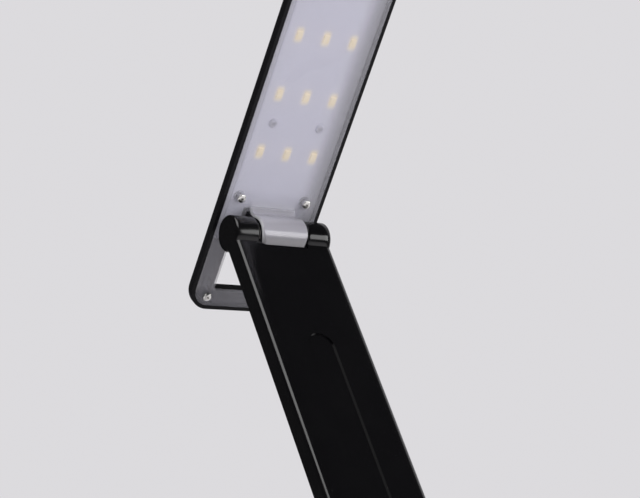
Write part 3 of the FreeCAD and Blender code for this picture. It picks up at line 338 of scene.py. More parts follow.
# %% Mixing colours and keeping finishes
def mixed(tree, factor, first, second):
    """A colour that runs from first to second as factor goes from 0 to 1."""
    mix = add(tree, "ShaderNodeMix", {"data_type": "RGBA"}, in_0=factor)
    # a Mix node has sockets for every type, and its colours are inputs 6 and 7 and output 2
    for socket, colour in ((mix.inputs[6], first), (mix.inputs[7], second)):
        if isinstance(colour, bpy.types.NodeSocket):
            tree.links.new(colour, socket)
        else:
            socket.default_value = (*colour, 1.0)
    return mix.outputs[2]


def tinted(tree, shader, factor, colour, other):
    tree.links.new(mixed(tree, factor, colour, other), shader.inputs["Base Color"])


def keep(slot, material):
    finishes[slot] = material
    print("finish", material.name, "for", slot)


# %% [markdown]
# ## Finish: the gloss black arm
# The arm is injection moulded in a polished tool: almost a mirror, with a black body. Its colour
# comes from what it reflects, so the material has a very low roughness, a slow waviness that bends
# long highlights a little, a few dust specks and hairlines along the slab. The face of a real slab
# also rolls down a little before its edges, which is too little to model and enough to see, so it is
# a bump. There the face mirrors other things than in its middle: the soft light above it on the
# left, and the pale side of the room on the right.

# %% Finish: gloss black arm
ARM_BLACK = (0.0024, 0.0023, 0.0028)
DUST = (0.09, 0.088, 0.085)
ARM_ROLL = ((-1, 12.0 * MM, 1000.0), (1, 20.0 * MM, 14800.0))     # side, flat to, rate
DUST_ROUGHNESS = 0.7
LINE_ROUGHNESS = 0.25


def make_arm_gloss():
    material, tree, shader, place, skin = skinned(
        "arm_gloss_black", ARM_BLACK, 0.12, 0.20, 0.05 * MM, arm_flat, grain=1800.0, waves=70.0,
        wave_share=0.97, roll=ARM_ROLL, IOR=1.49)
    marks = grouped(tree, handling_marks, Place=place, Specks=240.0, Speck_size=0.05, Lines=700.0)
    tinted(tree, shader, marks.outputs["Dust"], ARM_BLACK, DUST)
    rough = maths(tree, "MAXIMUM", skin.outputs["Roughness"],
                  maths(tree, "MULTIPLY", marks.outputs["Dust"], DUST_ROUGHNESS))
    lines = maths(tree, "MULTIPLY", marks.outputs["Lines"], LINE_ROUGHNESS)
    tree.links.new(maths(tree, "ADD", rough, lines), shader.inputs["Roughness"])
    return material


keep("arm_gloss", make_arm_gloss())

# %% [markdown]
# ## Finish: the satin black shells
# The tray of the head and both halves of the base come from a tool with a fine spark-eroded texture.
# It scatters light, so these shells read as a soft dark grey next to the arm. A low specular level
# keeps them black from the side, where even a satin plastic starts to mirror the room.

# %% Finish: satin black shells
SHELL_BLACK = (0.0070, 0.0068, 0.0080)


def make_shell_satin():
    material, tree, shader, place, skin = skinned(
        "shell_satin_black", SHELL_BLACK, 0.26, 0.36, 0.035 * MM, grain=2600.0, waves=90.0,
        wave_share=0.35, IOR=1.5, Specular_IOR_Level=0.12)
    marks = grouped(tree, handling_marks, Place=place, Specks=200.0, Speck_size=0.06, Lines=800.0)
    tinted(tree, shader, marks.outputs["Dust"], SHELL_BLACK, DUST)
    return material


keep("shell_black", make_shell_satin())

# %% [markdown]
# ## Finish: the frosted cover
# The cover is a milky plate. What lies close behind it shows through, softened: white board, warm
# chips, faint screw heads. Where black plastic lies behind, the plate reads as a dark grey. An alpha
# below one lets Cycles pass both light and view through it without noise.
#
# Four parts of the plate differ from the rest, and each is a mask that is found from the flat
# coordinates. Near a cut edge a brighter band is painted, a glow that stands in for the light that
# scatters there: round the window of the frame and, half as strong, along the two long sides. The bar
# beyond the window is clearer and has no such glow. The tongue that wraps the knuckle stands proud of
# the face: it is denser and glossier, and painted darker where it bends down, as shade. Its cut sides
# face sideways, and a painted glow makes them lighter and opaque.

# %% Sizes and tones of the frosted cover
COVER_BODY = (0.58, 0.575, 0.63)
COVER_EDGE_GLOW = (0.58, 0.57, 0.60)
COVER_SIDE_GLOW = (0.60, 0.60, 0.62)
TONGUE_HIGH = (0.44, 0.43, 0.48)
TONGUE_PAINTED_SHADE = (0.27, 0.265, 0.28)
COVER_ALPHA = 0.30
BAR_ALPHA = 0.21
EDGE_GLOW_ALPHA = 0.33
TONGUE_ALPHA = 0.70
TONGUE_SHINE = 0.12
LIP_REACH = 3.4 * MM
WINDOW_HALF = 15.3 * MM
WINDOW_NEAR = -11.0 * MM
WINDOW_FAR = -34.0 * MM
TONGUE_BLEND = 3.0 * MM
TONGUE_SHADE_SPAN = (6.5 * MM, 2.5 * MM)       # the painted shade of the tongue deepens from here to here
SIDE_GLOW_NORMAL = (0.7, 0.98)                 # how far sideways a cut side faces, where its painted glow starts and is full
COVER_HALF = 24.6 * MM
BORDER = (1.6 * MM, 0.4 * MM)            # the painted glow of the long sides, from their edge
BORDER_SHARE = 0.5
print(f"window of the frame {2 * WINDOW_HALF / MM:.1f} mm wide, {(WINDOW_NEAR - WINDOW_FAR) / MM:.1f} long")


# %% Finish: frosted cover
def box_distance(tree, x, y, half_x, half_y, middle_y):
    """Distance in the plane from a rectangle that is centred on x = 0 and y = middle_y."""
    over_x = maths(tree, "MAXIMUM", maths(tree, "SUBTRACT", maths(tree, "ABSOLUTE", x), half_x), 0.0)
    from_middle = maths(tree, "ABSOLUTE", maths(tree, "SUBTRACT", y, middle_y))
    over_y = maths(tree, "MAXIMUM", maths(tree, "SUBTRACT", from_middle, half_y), 0.0)
    squares = maths(tree, "MULTIPLY_ADD", over_x, over_x, maths(tree, "MULTIPLY", over_y, over_y))
    return maths(tree, "SQRT", squares)


def edge_glow_mask(tree, x, y):
    """The painted glow: one along the cut edges of the window and, weaker, along the two long sides."""
    distance = box_distance(tree, x, y, WINDOW_HALF, (WINDOW_NEAR - WINDOW_FAR) / 2,
                            (WINDOW_NEAR + WINDOW_FAR) / 2)
    off_bar = ramp(tree, y, WINDOW_FAR, WINDOW_FAR + 2 * LIP_REACH)
    window = maths(tree, "MULTIPLY", ramp(tree, distance, LIP_REACH, 0.0), off_bar)
    border = ramp(tree, maths(tree, "ABSOLUTE", x), *(COVER_HALF - reach for reach in BORDER))
    beside = ramp(tree, y, WINDOW_NEAR / 2, WINDOW_NEAR, 0.0, BORDER_SHARE)
    return maths(tree, "MAXIMUM", window, maths(tree, "MULTIPLY", border, beside))


def make_frosted_cover():
    material, tree, shader, place, skin = skinned(
        "cover_frosted", COVER_BODY, 0.23, 0.28, 0.006 * MM, head_flat, grain=3200.0, waves=30.0,
        wave_share=0.5, IOR=1.58, Coat_Roughness=TONGUE_SHINE)
    axes = add(tree, "ShaderNodeSeparateXYZ", Vector=place)
    x, y, z = (axes.outputs[axis] for axis in "XYZ")
    # painted glow: a brighter, denser band along the cut edges
    edge_glow = edge_glow_mask(tree, x, y)
    raised = ramp(tree, z, cover_face, cover_face + TONGUE_BLEND)
    # painted shade on the tongue, darker where it bends down towards the hinge
    low = ramp(tree, y, *TONGUE_SHADE_SPAN)
    # painted glow: the tongue's cut sides, found by how far sideways they face, turn lighter and opaque
    facing = tree.nodes.new("ShaderNodeNewGeometry").outputs["Normal"]
    sideways = add(tree, "ShaderNodeSeparateXYZ", Vector=facing).outputs["X"]
    cut = maths(tree, "MULTIPLY", raised, ramp(tree, maths(tree, "ABSOLUTE", sideways), *SIDE_GLOW_NORMAL))

    colour = mixed(tree, edge_glow, COVER_BODY, COVER_EDGE_GLOW)
    colour = mixed(tree, raised, colour, mixed(tree, low, TONGUE_HIGH, TONGUE_PAINTED_SHADE))
    tinted(tree, shader, cut, colour, COVER_SIDE_GLOW)
    plain = ramp(tree, y, WINDOW_FAR - LIP_REACH / 2, WINDOW_FAR + LIP_REACH, BAR_ALPHA, COVER_ALPHA)
    alpha = maths(tree, "MAXIMUM", plain, maths(tree, "MULTIPLY", edge_glow, EDGE_GLOW_ALPHA))
    alpha = maths(tree, "MAXIMUM", alpha, maths(tree, "MULTIPLY", raised, TONGUE_ALPHA))
    tree.links.new(maths(tree, "MAXIMUM", alpha, cut), shader.inputs["Alpha"])
    tree.links.new(raised, shader.inputs["Coat Weight"])
    return material


keep("head_diffuser", make_frosted_cover())

# %% [markdown]
# ## Finish: the LED board
# The board is white solder mask on a metal core: a soft gloss. Round each chip a warm glow is
# painted, into its colour and as a faint emission, where light would scatter between board and cover.
# The glow repeats with the chips, so the flat coordinates are folded onto one chip by a modulo before
# the distance is taken. The board darkens towards its sides, where the rim of the tray keeps the
# light off, and more so on the right.

# %% Sizes and tones of the LED board
BOARD_WHITE = (0.82, 0.82, 0.96)
# painted glow round each chip: a warm tint in the board's colour, and the colour of a faint emission
BOARD_PAINTED_GLOW = (1.0, 0.88, 0.66)
BOARD_SIDE = (0.22, 0.22, 0.26)
CHIP_PAINTED_GLOW = (1.0, 0.80, 0.45)
CHIP_PITCH_X = 14.0 * MM
CHIP_PITCH_Y = 28.0 * MM
GLOW_REACH = 2.6 * MM
GLOW_CORE = (0.4, 1.2)            # the even core of a chip's painted glow, as a share of the chip's own size
RIGHT_SHADE_FROM = 13.0 * MM
LEFT_SHADE_FROM = 19.0 * MM
LEFT_SHADE = 0.8
PAINTED_GLOW_STRENGTH = 0.22
PHOSPHOR_PAINTED_GLOW = 0.26
chip_half_x = 1.4 * MM
chip_half_y = 1.75 * MM
first_chip_y = chips_low.y + chip_half_y
print(f"first row of chips {first_chip_y / MM:.1f} mm from the hinge")


# %% Finish: LED board
def folded(tree, value, pitch, centre):
    """The distance along one axis to the nearest copy of centre, repeated by pitch."""
    shifted = maths(tree, "ADD", maths(tree, "SUBTRACT", value, centre), pitch / 2)
    return maths(tree, "SUBTRACT", maths(tree, "FLOORED_MODULO", shifted, pitch), pitch / 2)


def painted_chip_glow(tree, place, reach):
    """A mask of the painted glow, one round every chip. It starts with the first row, as the modulo has no end."""
    axes = add(tree, "ShaderNodeSeparateXYZ", Vector=place)
    x = folded(tree, axes.outputs["X"], CHIP_PITCH_X, 0.0)
    y = folded(tree, axes.outputs["Y"], CHIP_PITCH_Y, first_chip_y)
    core_x, core_y = chip_half_x * GLOW_CORE[0], chip_half_y * GLOW_CORE[1]
    distance = box_distance(tree, x, y, core_x, core_y, 0.0)
    lit = ramp(tree, axes.outputs["Y"], first_chip_y - 3 * reach, first_chip_y - 2 * reach)
    return maths(tree, "MULTIPLY", ramp(tree, distance, reach, 0.0), lit)


def make_board_white():
    material, tree, shader, place, skin = skinned(
        "board_white_mask", BOARD_WHITE, 0.35, 0.5, 0.01 * MM, head_flat, grain=1500.0)
    across = add(tree, "ShaderNodeSeparateXYZ", Vector=place).outputs["X"]
    right = ramp(tree, across, RIGHT_SHADE_FROM, board_high.x)
    left = ramp(tree, across, -LEFT_SHADE_FROM, board_low.x, 0.0, LEFT_SHADE)
    glow_mask = painted_chip_glow(tree, place, GLOW_REACH)
    side = mixed(tree, maths(tree, "MAXIMUM", left, right), BOARD_WHITE, BOARD_SIDE)
    tinted(tree, shader, glow_mask, side, BOARD_PAINTED_GLOW)
    # the same painted glow, as a faint emission of the board
    tree.links.new(mixed(tree, glow_mask, (0.0, 0.0, 0.0), CHIP_PAINTED_GLOW), shader.inputs["Emission Color"])
    shader.inputs["Emission Strength"].default_value = PAINTED_GLOW_STRENGTH
    return material


keep("board_white", make_board_white())

# %% [markdown]
# ## Finish: metals and small parts
# Screws, shafts and the ballast are metal: the colour is that of the mirror image, and fine turning
# lines roughen it. Everything else inside is plain plastic, rubber, foam or board, whose colour
# drifts between two close tones, because one flat tone looks like a drawing.

# %% Finish: metals and small parts
TURNED_LINES = 1400.0
TURNED_ROUGHNESS = 0.4
METAL_DRIFT = 0.82                 # the darker tone of a metal, as a share of its colour
TONE_SHARE = 1 / 12                # patches of tone to a grain
TONE_RANGE = (0.3, 0.7)


def make_metal(name, colour, smooth, smeared):
    """Steel or nickel: fine turning lines in the roughness, and a slight drift of the colour."""
    material, tree, shader, place, skin = skinned(
        name, colour, smooth, smeared, 0.004 * MM, grain=5000.0, waves=500.0, wave_share=0.4,
        Metallic=1.0)
    marks = grouped(tree, handling_marks, Place=place, Lines=TURNED_LINES, Line_share=0.35)
    lines = maths(tree, "MULTIPLY", marks.outputs["Lines"], TURNED_ROUGHNESS)
    tree.links.new(maths(tree, "ADD", skin.outputs["Roughness"], lines), shader.inputs["Roughness"])
    darker = tuple(METAL_DRIFT * channel for channel in colour)
    tinted(tree, shader, skin.outputs["Height"], colour, darker)
    return material


def make_mottled(name, colour, other, smooth, smeared, depth, grain, **sockets):
    """A plain plastic, rubber, foam or mask whose colour drifts between two close tones."""
    material, tree, shader, place, skin = skinned(name, colour, smooth, smeared, depth, grain=grain,
                                                  **sockets)
    tone = add(tree, "ShaderNodeTexNoise", Vector=place, Scale=grain * TONE_SHARE, Detail=3.0)
    tinted(tree, shader, ramp(tree, tone.outputs["Fac"], *TONE_RANGE), colour, other)
    return material


print("finishes so far:", ", ".join(finishes))

# %% Every other finish, by the slot of the record that it belongs to
finishes.update({
    # the phosphor's faint emission is a painted glow that makes the chips read brighter
    "led_phosphor": make_mottled("phosphor_warm", (1.0, 0.88, 0.60), (1.0, 0.84, 0.50), 0.25, 0.4,
                                 0.01 * MM, 6000.0, Emission_Color=(*CHIP_PAINTED_GLOW, 1.0),
                                 Emission_Strength=PHOSPHOR_PAINTED_GLOW),
    "screw_steel": make_metal("screw_nickel", (0.88, 0.87, 0.84), 0.18, 0.28),
    "hinge_steel": make_metal("shaft_steel", (0.54, 0.54, 0.55), 0.26, 0.36),
    "hinge_polymer": make_mottled("acetal_natural", (0.80, 0.78, 0.72), (0.74, 0.72, 0.66), 0.35, 0.5,
                                  0.01 * MM, 2000.0),
    "lead_jacket": make_mottled("jacket_black", (0.020, 0.020, 0.021), (0.030, 0.029, 0.029), 0.5,
                                0.65, 0.02 * MM, 2400.0),
    "ballast_steel": make_metal("zinc_plate", (0.44, 0.44, 0.46), 0.3, 0.45),
    "foot_rubber": make_mottled("foot_rubber", (0.022, 0.022, 0.022), (0.034, 0.033, 0.032), 0.7,
                                0.85, 0.05 * MM, 1800.0),
    "foam": make_mottled("foam_black", (0.03, 0.03, 0.03), (0.06, 0.06, 0.06), 0.85, 0.95,
                         0.12 * MM, 900.0),
    "cell_wrap": make_mottled("cell_laminate", (0.56, 0.58, 0.61), (0.48, 0.50, 0.54), 0.28, 0.42,
                              0.03 * MM, 700.0, Metallic=0.6),
    "board_green": make_mottled("board_green_mask", (0.020, 0.19, 0.075), (0.015, 0.15, 0.06), 0.25,
                                0.4, 0.01 * MM, 1500.0),
    "component_black": make_mottled("component_black", (0.035, 0.035, 0.038), (0.05, 0.05, 0.05),
                                    0.45, 0.6, 0.01 * MM, 3000.0),
    "plug_white": make_mottled("plug_nylon", (0.78, 0.77, 0.72), (0.70, 0.69, 0.65), 0.4, 0.55,
                               0.01 * MM, 2200.0),
    "button_black": make_mottled("button_satin", (0.016, 0.016, 0.017), (0.022, 0.022, 0.022), 0.2,
                                 0.3, 0.015 * MM, 2600.0),
    "lens_clear": make_mottled("lens_frosted", (0.78, 0.80, 0.80), (0.70, 0.73, 0.74), 0.2, 0.3,
                               0.01 * MM, 2000.0),
})
slot_of = {part["node"]: part["material_slot"] for part in frame["record"]["subparts"]}
for name, node in nodes.items():
    node.data.materials.clear()
    node.data.materials.append(finishes[slot_of[name]])
print(f"{len(finishes)} finishes on {len(nodes)} nodes")

# %% [markdown]
# ## Geometry Nodes: helpers to start, run and end a tree
# Screws and light chips repeat, so each is a small Geometry Nodes tree with its sizes as named
# inputs. The modifier is set up by the identifiers of the sockets, evaluated once and turned into a
# plain mesh. Realize Instances has to come last but for the material, because an instance has no
# mesh of its own.

# %% Geometry Nodes helpers
GEOMETRY_SOCKETS = {float: "NodeSocketFloat", int: "NodeSocketInt", Vector: "NodeSocketVector",
                    bpy.types.Material: "NodeSocketMaterial"}


def geometry_tree(name, inputs):
    tree = bpy.data.node_groups.new(name, "GeometryNodeTree")
    tree.interface.new_socket("Points", in_out="INPUT", socket_type="NodeSocketGeometry")
    tree.interface.new_socket("Mesh", in_out="OUTPUT", socket_type="NodeSocketGeometry")
    for label, kind in inputs.items():
        tree.interface.new_socket(label, in_out="INPUT", socket_type=GEOMETRY_SOCKETS[kind])
    return tree, tree.nodes.new("NodeGroupInput"), tree.nodes.new("NodeGroupOutput")


def grow(name, tree, points, values, smooth_angle):
    """Runs a tree on some points and returns the result as a plain object."""
    seeds = bpy.data.meshes.new(name + "_points")
    seeds.from_pydata([tuple(point) for point in points], [], [])
    carrier = bpy.data.objects.new(name + "_points", seeds)
    bpy.context.scene.collection.objects.link(carrier)
    modifier = carrier.modifiers.new("grow", "NODES")
    modifier.node_group = tree
    for item in tree.interface.items_tree:
        if item.in_out == "INPUT" and item.name in values:
            modifier[item.identifier] = values[item.name]
    bpy.context.view_layer.update()
    evaluated = carrier.evaluated_get(bpy.context.evaluated_depsgraph_get())
    mesh = bpy.data.meshes.new_from_object(evaluated)
    mesh.name = name
    bpy.data.objects.remove(carrier)
    mesh.shade_smooth()
    mesh.set_sharp_from_angle(angle=math.radians(smooth_angle))
    piece = bpy.data.objects.new(name, mesh)
    bpy.context.scene.collection.objects.link(piece)
    return piece


def placed_and_coated(tree, end, get, instance, rotation):
    """Ends a tree: a copy of instance on every point, made real, and the finish on all of them."""
    placed = add(tree, "GeometryNodeInstanceOnPoints", Points=get["Points"], Instance=instance,
                 Rotation=rotation)
    real = add(tree, "GeometryNodeRealizeInstances", Geometry=placed.outputs["Instances"])
    coated = add(tree, "GeometryNodeSetMaterial", Geometry=real.outputs["Geometry"],
                 Material=get["Finish"])
    tree.links.new(coated.outputs["Geometry"], end.inputs["Mesh"])


print("kinds of tree input:", ", ".join(kind.__name__ for kind in GEOMETRY_SOCKETS))

# %% [markdown]
# ## Screws
# Each screw is a pan head with a cross recess. The head is a surface of revolution whose section is
# a superellipse: sine and cosine of one angle, each raised to the same power, which gives a flat top
# with round shoulders. A grid is bent into it, one direction going round and the other from the pole
# to the rim, and a disc closes it below.

# %% Screws: the pan head
HEAD_STEPS = (32, 12)              # faces round the head, and from its pole to its rim
WELD = 1e-6


def pan_head(tree, get):
    """A closed head with its underside at height zero."""
    around, along = HEAD_STEPS
    grid = add(tree, "GeometryNodeMeshGrid", Size_X=1.0, Size_Y=1.0, Vertices_X=around + 1,
               Vertices_Y=along + 1)
    place = add(tree, "GeometryNodeInputPosition")
    axes = add(tree, "ShaderNodeSeparateXYZ", Vector=place.outputs[0])
    turn = maths(tree, "MULTIPLY", maths(tree, "ADD", axes.outputs["X"], 0.5), 2 * math.pi)
    tilt = maths(tree, "MULTIPLY", maths(tree, "ADD", axes.outputs["Y"], 0.5), math.pi / 2)
    radius = maths(tree, "MULTIPLY", get["Head radius"],
                   maths(tree, "POWER", maths(tree, "SINE", tilt), get["Power"]))
    rise = maths(tree, "MAXIMUM", maths(tree, "COSINE", tilt), 0.0)
    height = maths(tree, "MULTIPLY", get["Head height"], maths(tree, "POWER", rise, get["Power"]))
    bent = add(tree, "ShaderNodeCombineXYZ",
               X=maths(tree, "MULTIPLY", radius, maths(tree, "COSINE", turn)),
               Y=maths(tree, "MULTIPLY", radius, maths(tree, "SINE", turn)), Z=height)
    dome = add(tree, "GeometryNodeSetPosition", Geometry=grid.outputs["Mesh"],
               Position=bent.outputs[0])
    underside = add(tree, "GeometryNodeMeshCircle", {"fill_type": "NGON"}, Vertices=around,
                    Radius=get["Head radius"])
    facing_down = add(tree, "GeometryNodeFlipFaces", Mesh=underside.outputs["Mesh"])
    shell = add(tree, "GeometryNodeJoinGeometry")
    tree.links.new(dome.outputs["Geometry"], shell.inputs[0])
    tree.links.new(facing_down.outputs["Mesh"], shell.inputs[0])
    return add(tree, "GeometryNodeMergeByDistance", Geometry=shell.outputs[0], Distance=WELD).outputs[0]


print("a pan head starts with", HEAD_STEPS[0] * HEAD_STEPS[1], "faces on its dome")

# %% [markdown]
# The cross recess is cut by two crossing wedges. Each is a block whose lower corners are drawn in,
# so that the driver's tip would wedge itself tight, and the first has the length where the other has
# the width.

# %% Screws: the cross recess
RECESS_TAPER = 0.45                # how much narrower the recess is at its foot


def recessed(tree, head, get):
    """A head with the cross cut into its top."""
    cut = add(tree, "GeometryNodeMeshBoolean", {"operation": "DIFFERENCE", "solver": "EXACT"})
    tree.links.new(head, cut.inputs["Mesh 1"])
    place = add(tree, "GeometryNodeInputPosition")
    corner = add(tree, "ShaderNodeSeparateXYZ", Vector=place.outputs[0])
    below = maths(tree, "LESS_THAN", corner.outputs["Z"], 0.0)
    narrow = maths(tree, "SUBTRACT", 1.0, maths(tree, "MULTIPLY", below, RECESS_TAPER))
    tapered = add(tree, "ShaderNodeCombineXYZ",
                  X=maths(tree, "MULTIPLY", corner.outputs["X"], narrow),
                  Y=maths(tree, "MULTIPLY", corner.outputs["Y"], narrow),
                  Z=maths(tree, "ADD", corner.outputs["Z"], get["Head height"]))
    for length, width in (("Recess length", "Recess width"), ("Recess width", "Recess length")):
        size = add(tree, "ShaderNodeCombineXYZ", X=get[length], Y=get[width],
                   Z=maths(tree, "MULTIPLY", get["Recess depth"], 2.0))
        block = add(tree, "GeometryNodeMeshCube", Size=size.outputs[0])
        wedge = add(tree, "GeometryNodeSetPosition", Geometry=block.outputs["Mesh"],
                    Position=tapered.outputs[0])
        tree.links.new(wedge.outputs["Geometry"], cut.inputs["Mesh 2"])
    return cut.outputs["Mesh"]


print(f"the recess narrows to {1 - RECESS_TAPER:.0%} at its foot")

# %% [markdown]
# The tree joins head and shank, aims the screw along the way its head faces, and turns it by a random
# amount about that way, because no two screws stop at the same angle. The seed keeps the same turns
# in every run.

# %% Screws: the tree
SHANK_STEPS = 20


def make_screw_tree():
    tree, start, end = geometry_tree("pan_head_screws", {
        "Head radius": float, "Head height": float, "Shank radius": float, "Shank length": float,
        "Recess length": float, "Recess width": float, "Recess depth": float, "Power": float,
        "Outward": Vector, "Seed": int, "Finish": bpy.types.Material})
    get = start.outputs
    shank = add(tree, "GeometryNodeMeshCylinder", Vertices=SHANK_STEPS, Radius=get["Shank radius"],
                Depth=get["Shank length"])
    lowered = add(tree, "ShaderNodeCombineXYZ",
                  Z=maths(tree, "MULTIPLY", get["Shank length"], -0.5))
    sunk = add(tree, "GeometryNodeTransform", Geometry=shank.outputs["Mesh"],
               Translation=lowered.outputs[0])
    screw = add(tree, "GeometryNodeJoinGeometry")
    tree.links.new(recessed(tree, pan_head(tree, get), get), screw.inputs[0])
    tree.links.new(sunk.outputs["Geometry"], screw.inputs[0])

    aim = add(tree, "FunctionNodeAlignRotationToVector", {"axis": "Z"}, Vector=get["Outward"])
    spin = add(tree, "FunctionNodeRandomValue", {"data_type": "FLOAT"}, Seed=get["Seed"])
    spin.inputs[3].default_value = math.pi / 2       # input 3 is the highest random number
    spun = add(tree, "FunctionNodeAxisAngleToRotation", Axis=(0.0, 0.0, 1.0), Angle=spin.outputs[1])
    turned = add(tree, "FunctionNodeRotateRotation", {"rotation_space": "LOCAL"},
                 Rotation=aim.outputs[0], Rotate_By=spun.outputs[0])
    placed_and_coated(tree, end, get, screw.outputs[0], turned.outputs[0])
    return tree


screw_tree = make_screw_tree()
print("tree", screw_tree.name)

# %% [markdown]
# Where the screws sit is read from the solids that they stand for: each group of CAD screws has one
# closed solid per screw, so the seat of a screw is found from the points of its own solid.

# %% Seats of the screws
PAN_HEIGHT = 1.3 * MM
LOW_HEIGHT = 0.9 * MM
SCREW_SMOOTH = 40                  # degrees between two faces that still shade as one
SCREW_SIZES = {"Head radius": 2.1 * MM, "Shank radius": 1.05 * MM, "Shank length": 3.0 * MM,
               "Recess length": 2.3 * MM, "Recess width": 0.52 * MM, "Recess depth": 0.75 * MM,
               "Power": 0.55}


def islands(node):
    """The separate solids of a node, each as a list of its points."""
    points = [vertex.co.copy() for vertex in nodes[node].data.vertices]
    rounded = [tuple(round(c * 1e7) for c in point) for point in points]
    leader = {key: key for key in rounded}

    def find(key):
        while leader[key] != key:
            leader[key] = leader[leader[key]]
            key = leader[key]
        return key

    for polygon in nodes[node].data.polygons:
        first, *others = [find(rounded[index]) for index in polygon.vertices]
        for other in others:
            leader[find(other)] = find(first)
    groups = {}
    for key, point in zip(rounded, points):
        groups.setdefault(find(key), []).append(point)
    return list(groups.values())


def screw_seats(node, outward, head_height):
    """The middle of each CAD screw, moved along its axis to the underside of its head."""
    seats = []
    for points in islands(node):
        centre = sum(points, Vector()) / len(points)
        top = max(point.dot(outward) for point in points)
        seats.append(centre + outward * (top - centre.dot(outward) - head_height))
    return seats


print(len(islands("panel_screws")), "screws hold the cover at its two ends")

# %% Screws that show
head_out = head_flat.to_3x3() @ Vector((0, 0, 1))
arm_back = arm_flat.to_3x3() @ Vector((0, 0, -1))
base_under = Vector((0, 0, -1))
bright_nickel = finishes["screw_steel"]
dull_zinc = make_metal("screw_zinc", (0.76, 0.76, 0.86), 0.6, 0.7)
SCREW_ROWS = (
    # piece, node it stands for, body, way the head faces, height of the head, finish, seed
    ("cover_screws", "panel_screws", "head", head_out, PAN_HEIGHT, bright_nickel, 3),
    ("frame_screws", "loop_screws", "head", head_out, PAN_HEIGHT, bright_nickel, 11),
    ("board_screws", "led_board_screws", "head", head_out, LOW_HEIGHT, dull_zinc, 5),
    ("arm_back_screws", "arm_screws", "arm", arm_back, PAN_HEIGHT, bright_nickel, 7),
    ("underside_screws", "base_cover_screws", "base", base_under, PAN_HEIGHT, bright_nickel, 9),
)
for piece_name, node, body, outward, head_height, finish, seed in SCREW_ROWS:
    seats = screw_seats(node, outward, head_height)
    sizes = {**SCREW_SIZES, "Head height": head_height, "Outward": outward, "Seed": seed,
             "Finish": finish}
    piece = grow(piece_name, screw_tree, seats, sizes, SCREW_SMOOTH)
    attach(piece, body)
    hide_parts(node)
    print(piece_name, len(seats), "screws,", len(piece.data.polygons), "faces")

# %% [markdown]
# ## Light chips
# A light chip is a small block with a cushion of phosphor on top, and it repeats on a grid. The tree
# starts from a cube of many faces and lowers its top towards the sides by the fourth power of the
# distance from the middle, which leaves the middle flat and rolls the edges down.

# %% Tree: light chips
CHIP_STEPS = (8, 8, 2)             # faces along each side of a chip
ROLL_POWER = 4.0


def make_chip_tree():
    tree, start, end = geometry_tree("light_chips", {
        "Size": Vector, "Roll": float, "Tilt": Vector, "Finish": bpy.types.Material})
    get = start.outputs
    across, along, high = (steps + 1 for steps in CHIP_STEPS)
    block = add(tree, "GeometryNodeMeshCube", Size=get["Size"], Vertices_X=across, Vertices_Y=along,
                Vertices_Z=high)
    place = add(tree, "GeometryNodeInputPosition")
    share = add(tree, "ShaderNodeVectorMath", {"operation": "DIVIDE"}, in_0=place.outputs[0],
                in_1=get["Size"])
    axes = add(tree, "ShaderNodeSeparateXYZ", Vector=share.outputs[0])
    shares = [maths(tree, "MULTIPLY", maths(tree, "ABSOLUTE", axes.outputs[axis]), 2.0) for axis in "XY"]
    rolls = [maths(tree, "POWER", share, ROLL_POWER) for share in shares]
    top = maths(tree, "GREATER_THAN", axes.outputs["Z"], 0.25)
    fall = maths(tree, "MULTIPLY", maths(tree, "ADD", *rolls), maths(tree, "MULTIPLY", get["Roll"], top))
    lowered = add(tree, "ShaderNodeCombineXYZ", Z=maths(tree, "MULTIPLY", fall, -1.0))
    chip = add(tree, "GeometryNodeSetPosition", Geometry=block.outputs["Mesh"],
               Offset=lowered.outputs[0])
    tilt = add(tree, "FunctionNodeEulerToRotation", Euler=get["Tilt"])
    placed_and_coated(tree, end, get, chip.outputs["Geometry"], tilt.outputs[0])
    return tree


chip_tree = make_chip_tree()
print("tree", chip_tree.name)

# %% Light chips
CHIP_ROLL = 0.12 * MM
CHIP_SMOOTH = 50
chip_size = Vector((2 * chip_half_x, 2 * chip_half_y, chips_high.z - chips_low.z))
chip_places = [sum((Vector(map(pick, zip(*points))) for pick in (min, max)), Vector()) / 2
               for points in islands("led_chips")]
light_chips = grow("light_chips", chip_tree, chip_places,
                   {"Size": chip_size, "Roll": CHIP_ROLL, "Tilt": Vector((tilt_of(head_flat), 0, 0)),
                    "Finish": finishes["led_phosphor"]}, CHIP_SMOOTH)
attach(light_chips, "head")
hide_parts("led_chips")
print(len(chip_places), "light chips,", len(light_chips.data.polygons), "faces")

# %% [markdown]
# ## Floor, world and lights
# The floor is a disc that fades out before the horizon, so the lamp keeps its shadow and the
# background stays one pale tone. The world shows that tone to the camera, and an even, dimmer tone
# to rough surfaces. In a mirror image it is a dark room with one pale side, behind the lamp on the
# right, which is what a gloss black arm needs: it is black only if there is something dark to
# reflect.

# %% Floor
BACKGROUND = (0.716, 0.706, 0.728)
FLOOR_PAPER = (0.74, 0.725, 0.74)
FLOOR_RADIUS = 1.6
FLOOR_STEPS = 96
FADE_FROM = 0.35
FADE_TO = 1.5


def make_floor():
    mesh = bpy.data.meshes.new("floor")
    turns = [2 * math.pi * step / FLOOR_STEPS for step in range(FLOOR_STEPS)]
    ring = [(FLOOR_RADIUS * math.cos(turn), FLOOR_RADIUS * math.sin(turn), 0.0) for turn in turns]
    mesh.from_pydata(ring, [], [tuple(range(FLOOR_STEPS))])
    material, tree, shader = new_material("floor_paper", FLOOR_PAPER, Roughness=0.75)
    place = tree.nodes.new("ShaderNodeTexCoord").outputs["Object"]
    distance = add(tree, "ShaderNodeVectorMath", {"operation": "LENGTH"}, in_0=place).outputs["Value"]
    tree.links.new(ramp(tree, distance, FADE_FROM, FADE_TO, 1.0, 0.0), shader.inputs["Alpha"])
    mesh.materials.append(material)
    floor = bpy.data.objects.new("floor", mesh)
    bpy.context.scene.collection.objects.link(floor)
    return floor


print("floor of", len(make_floor().data.vertices), "corners")

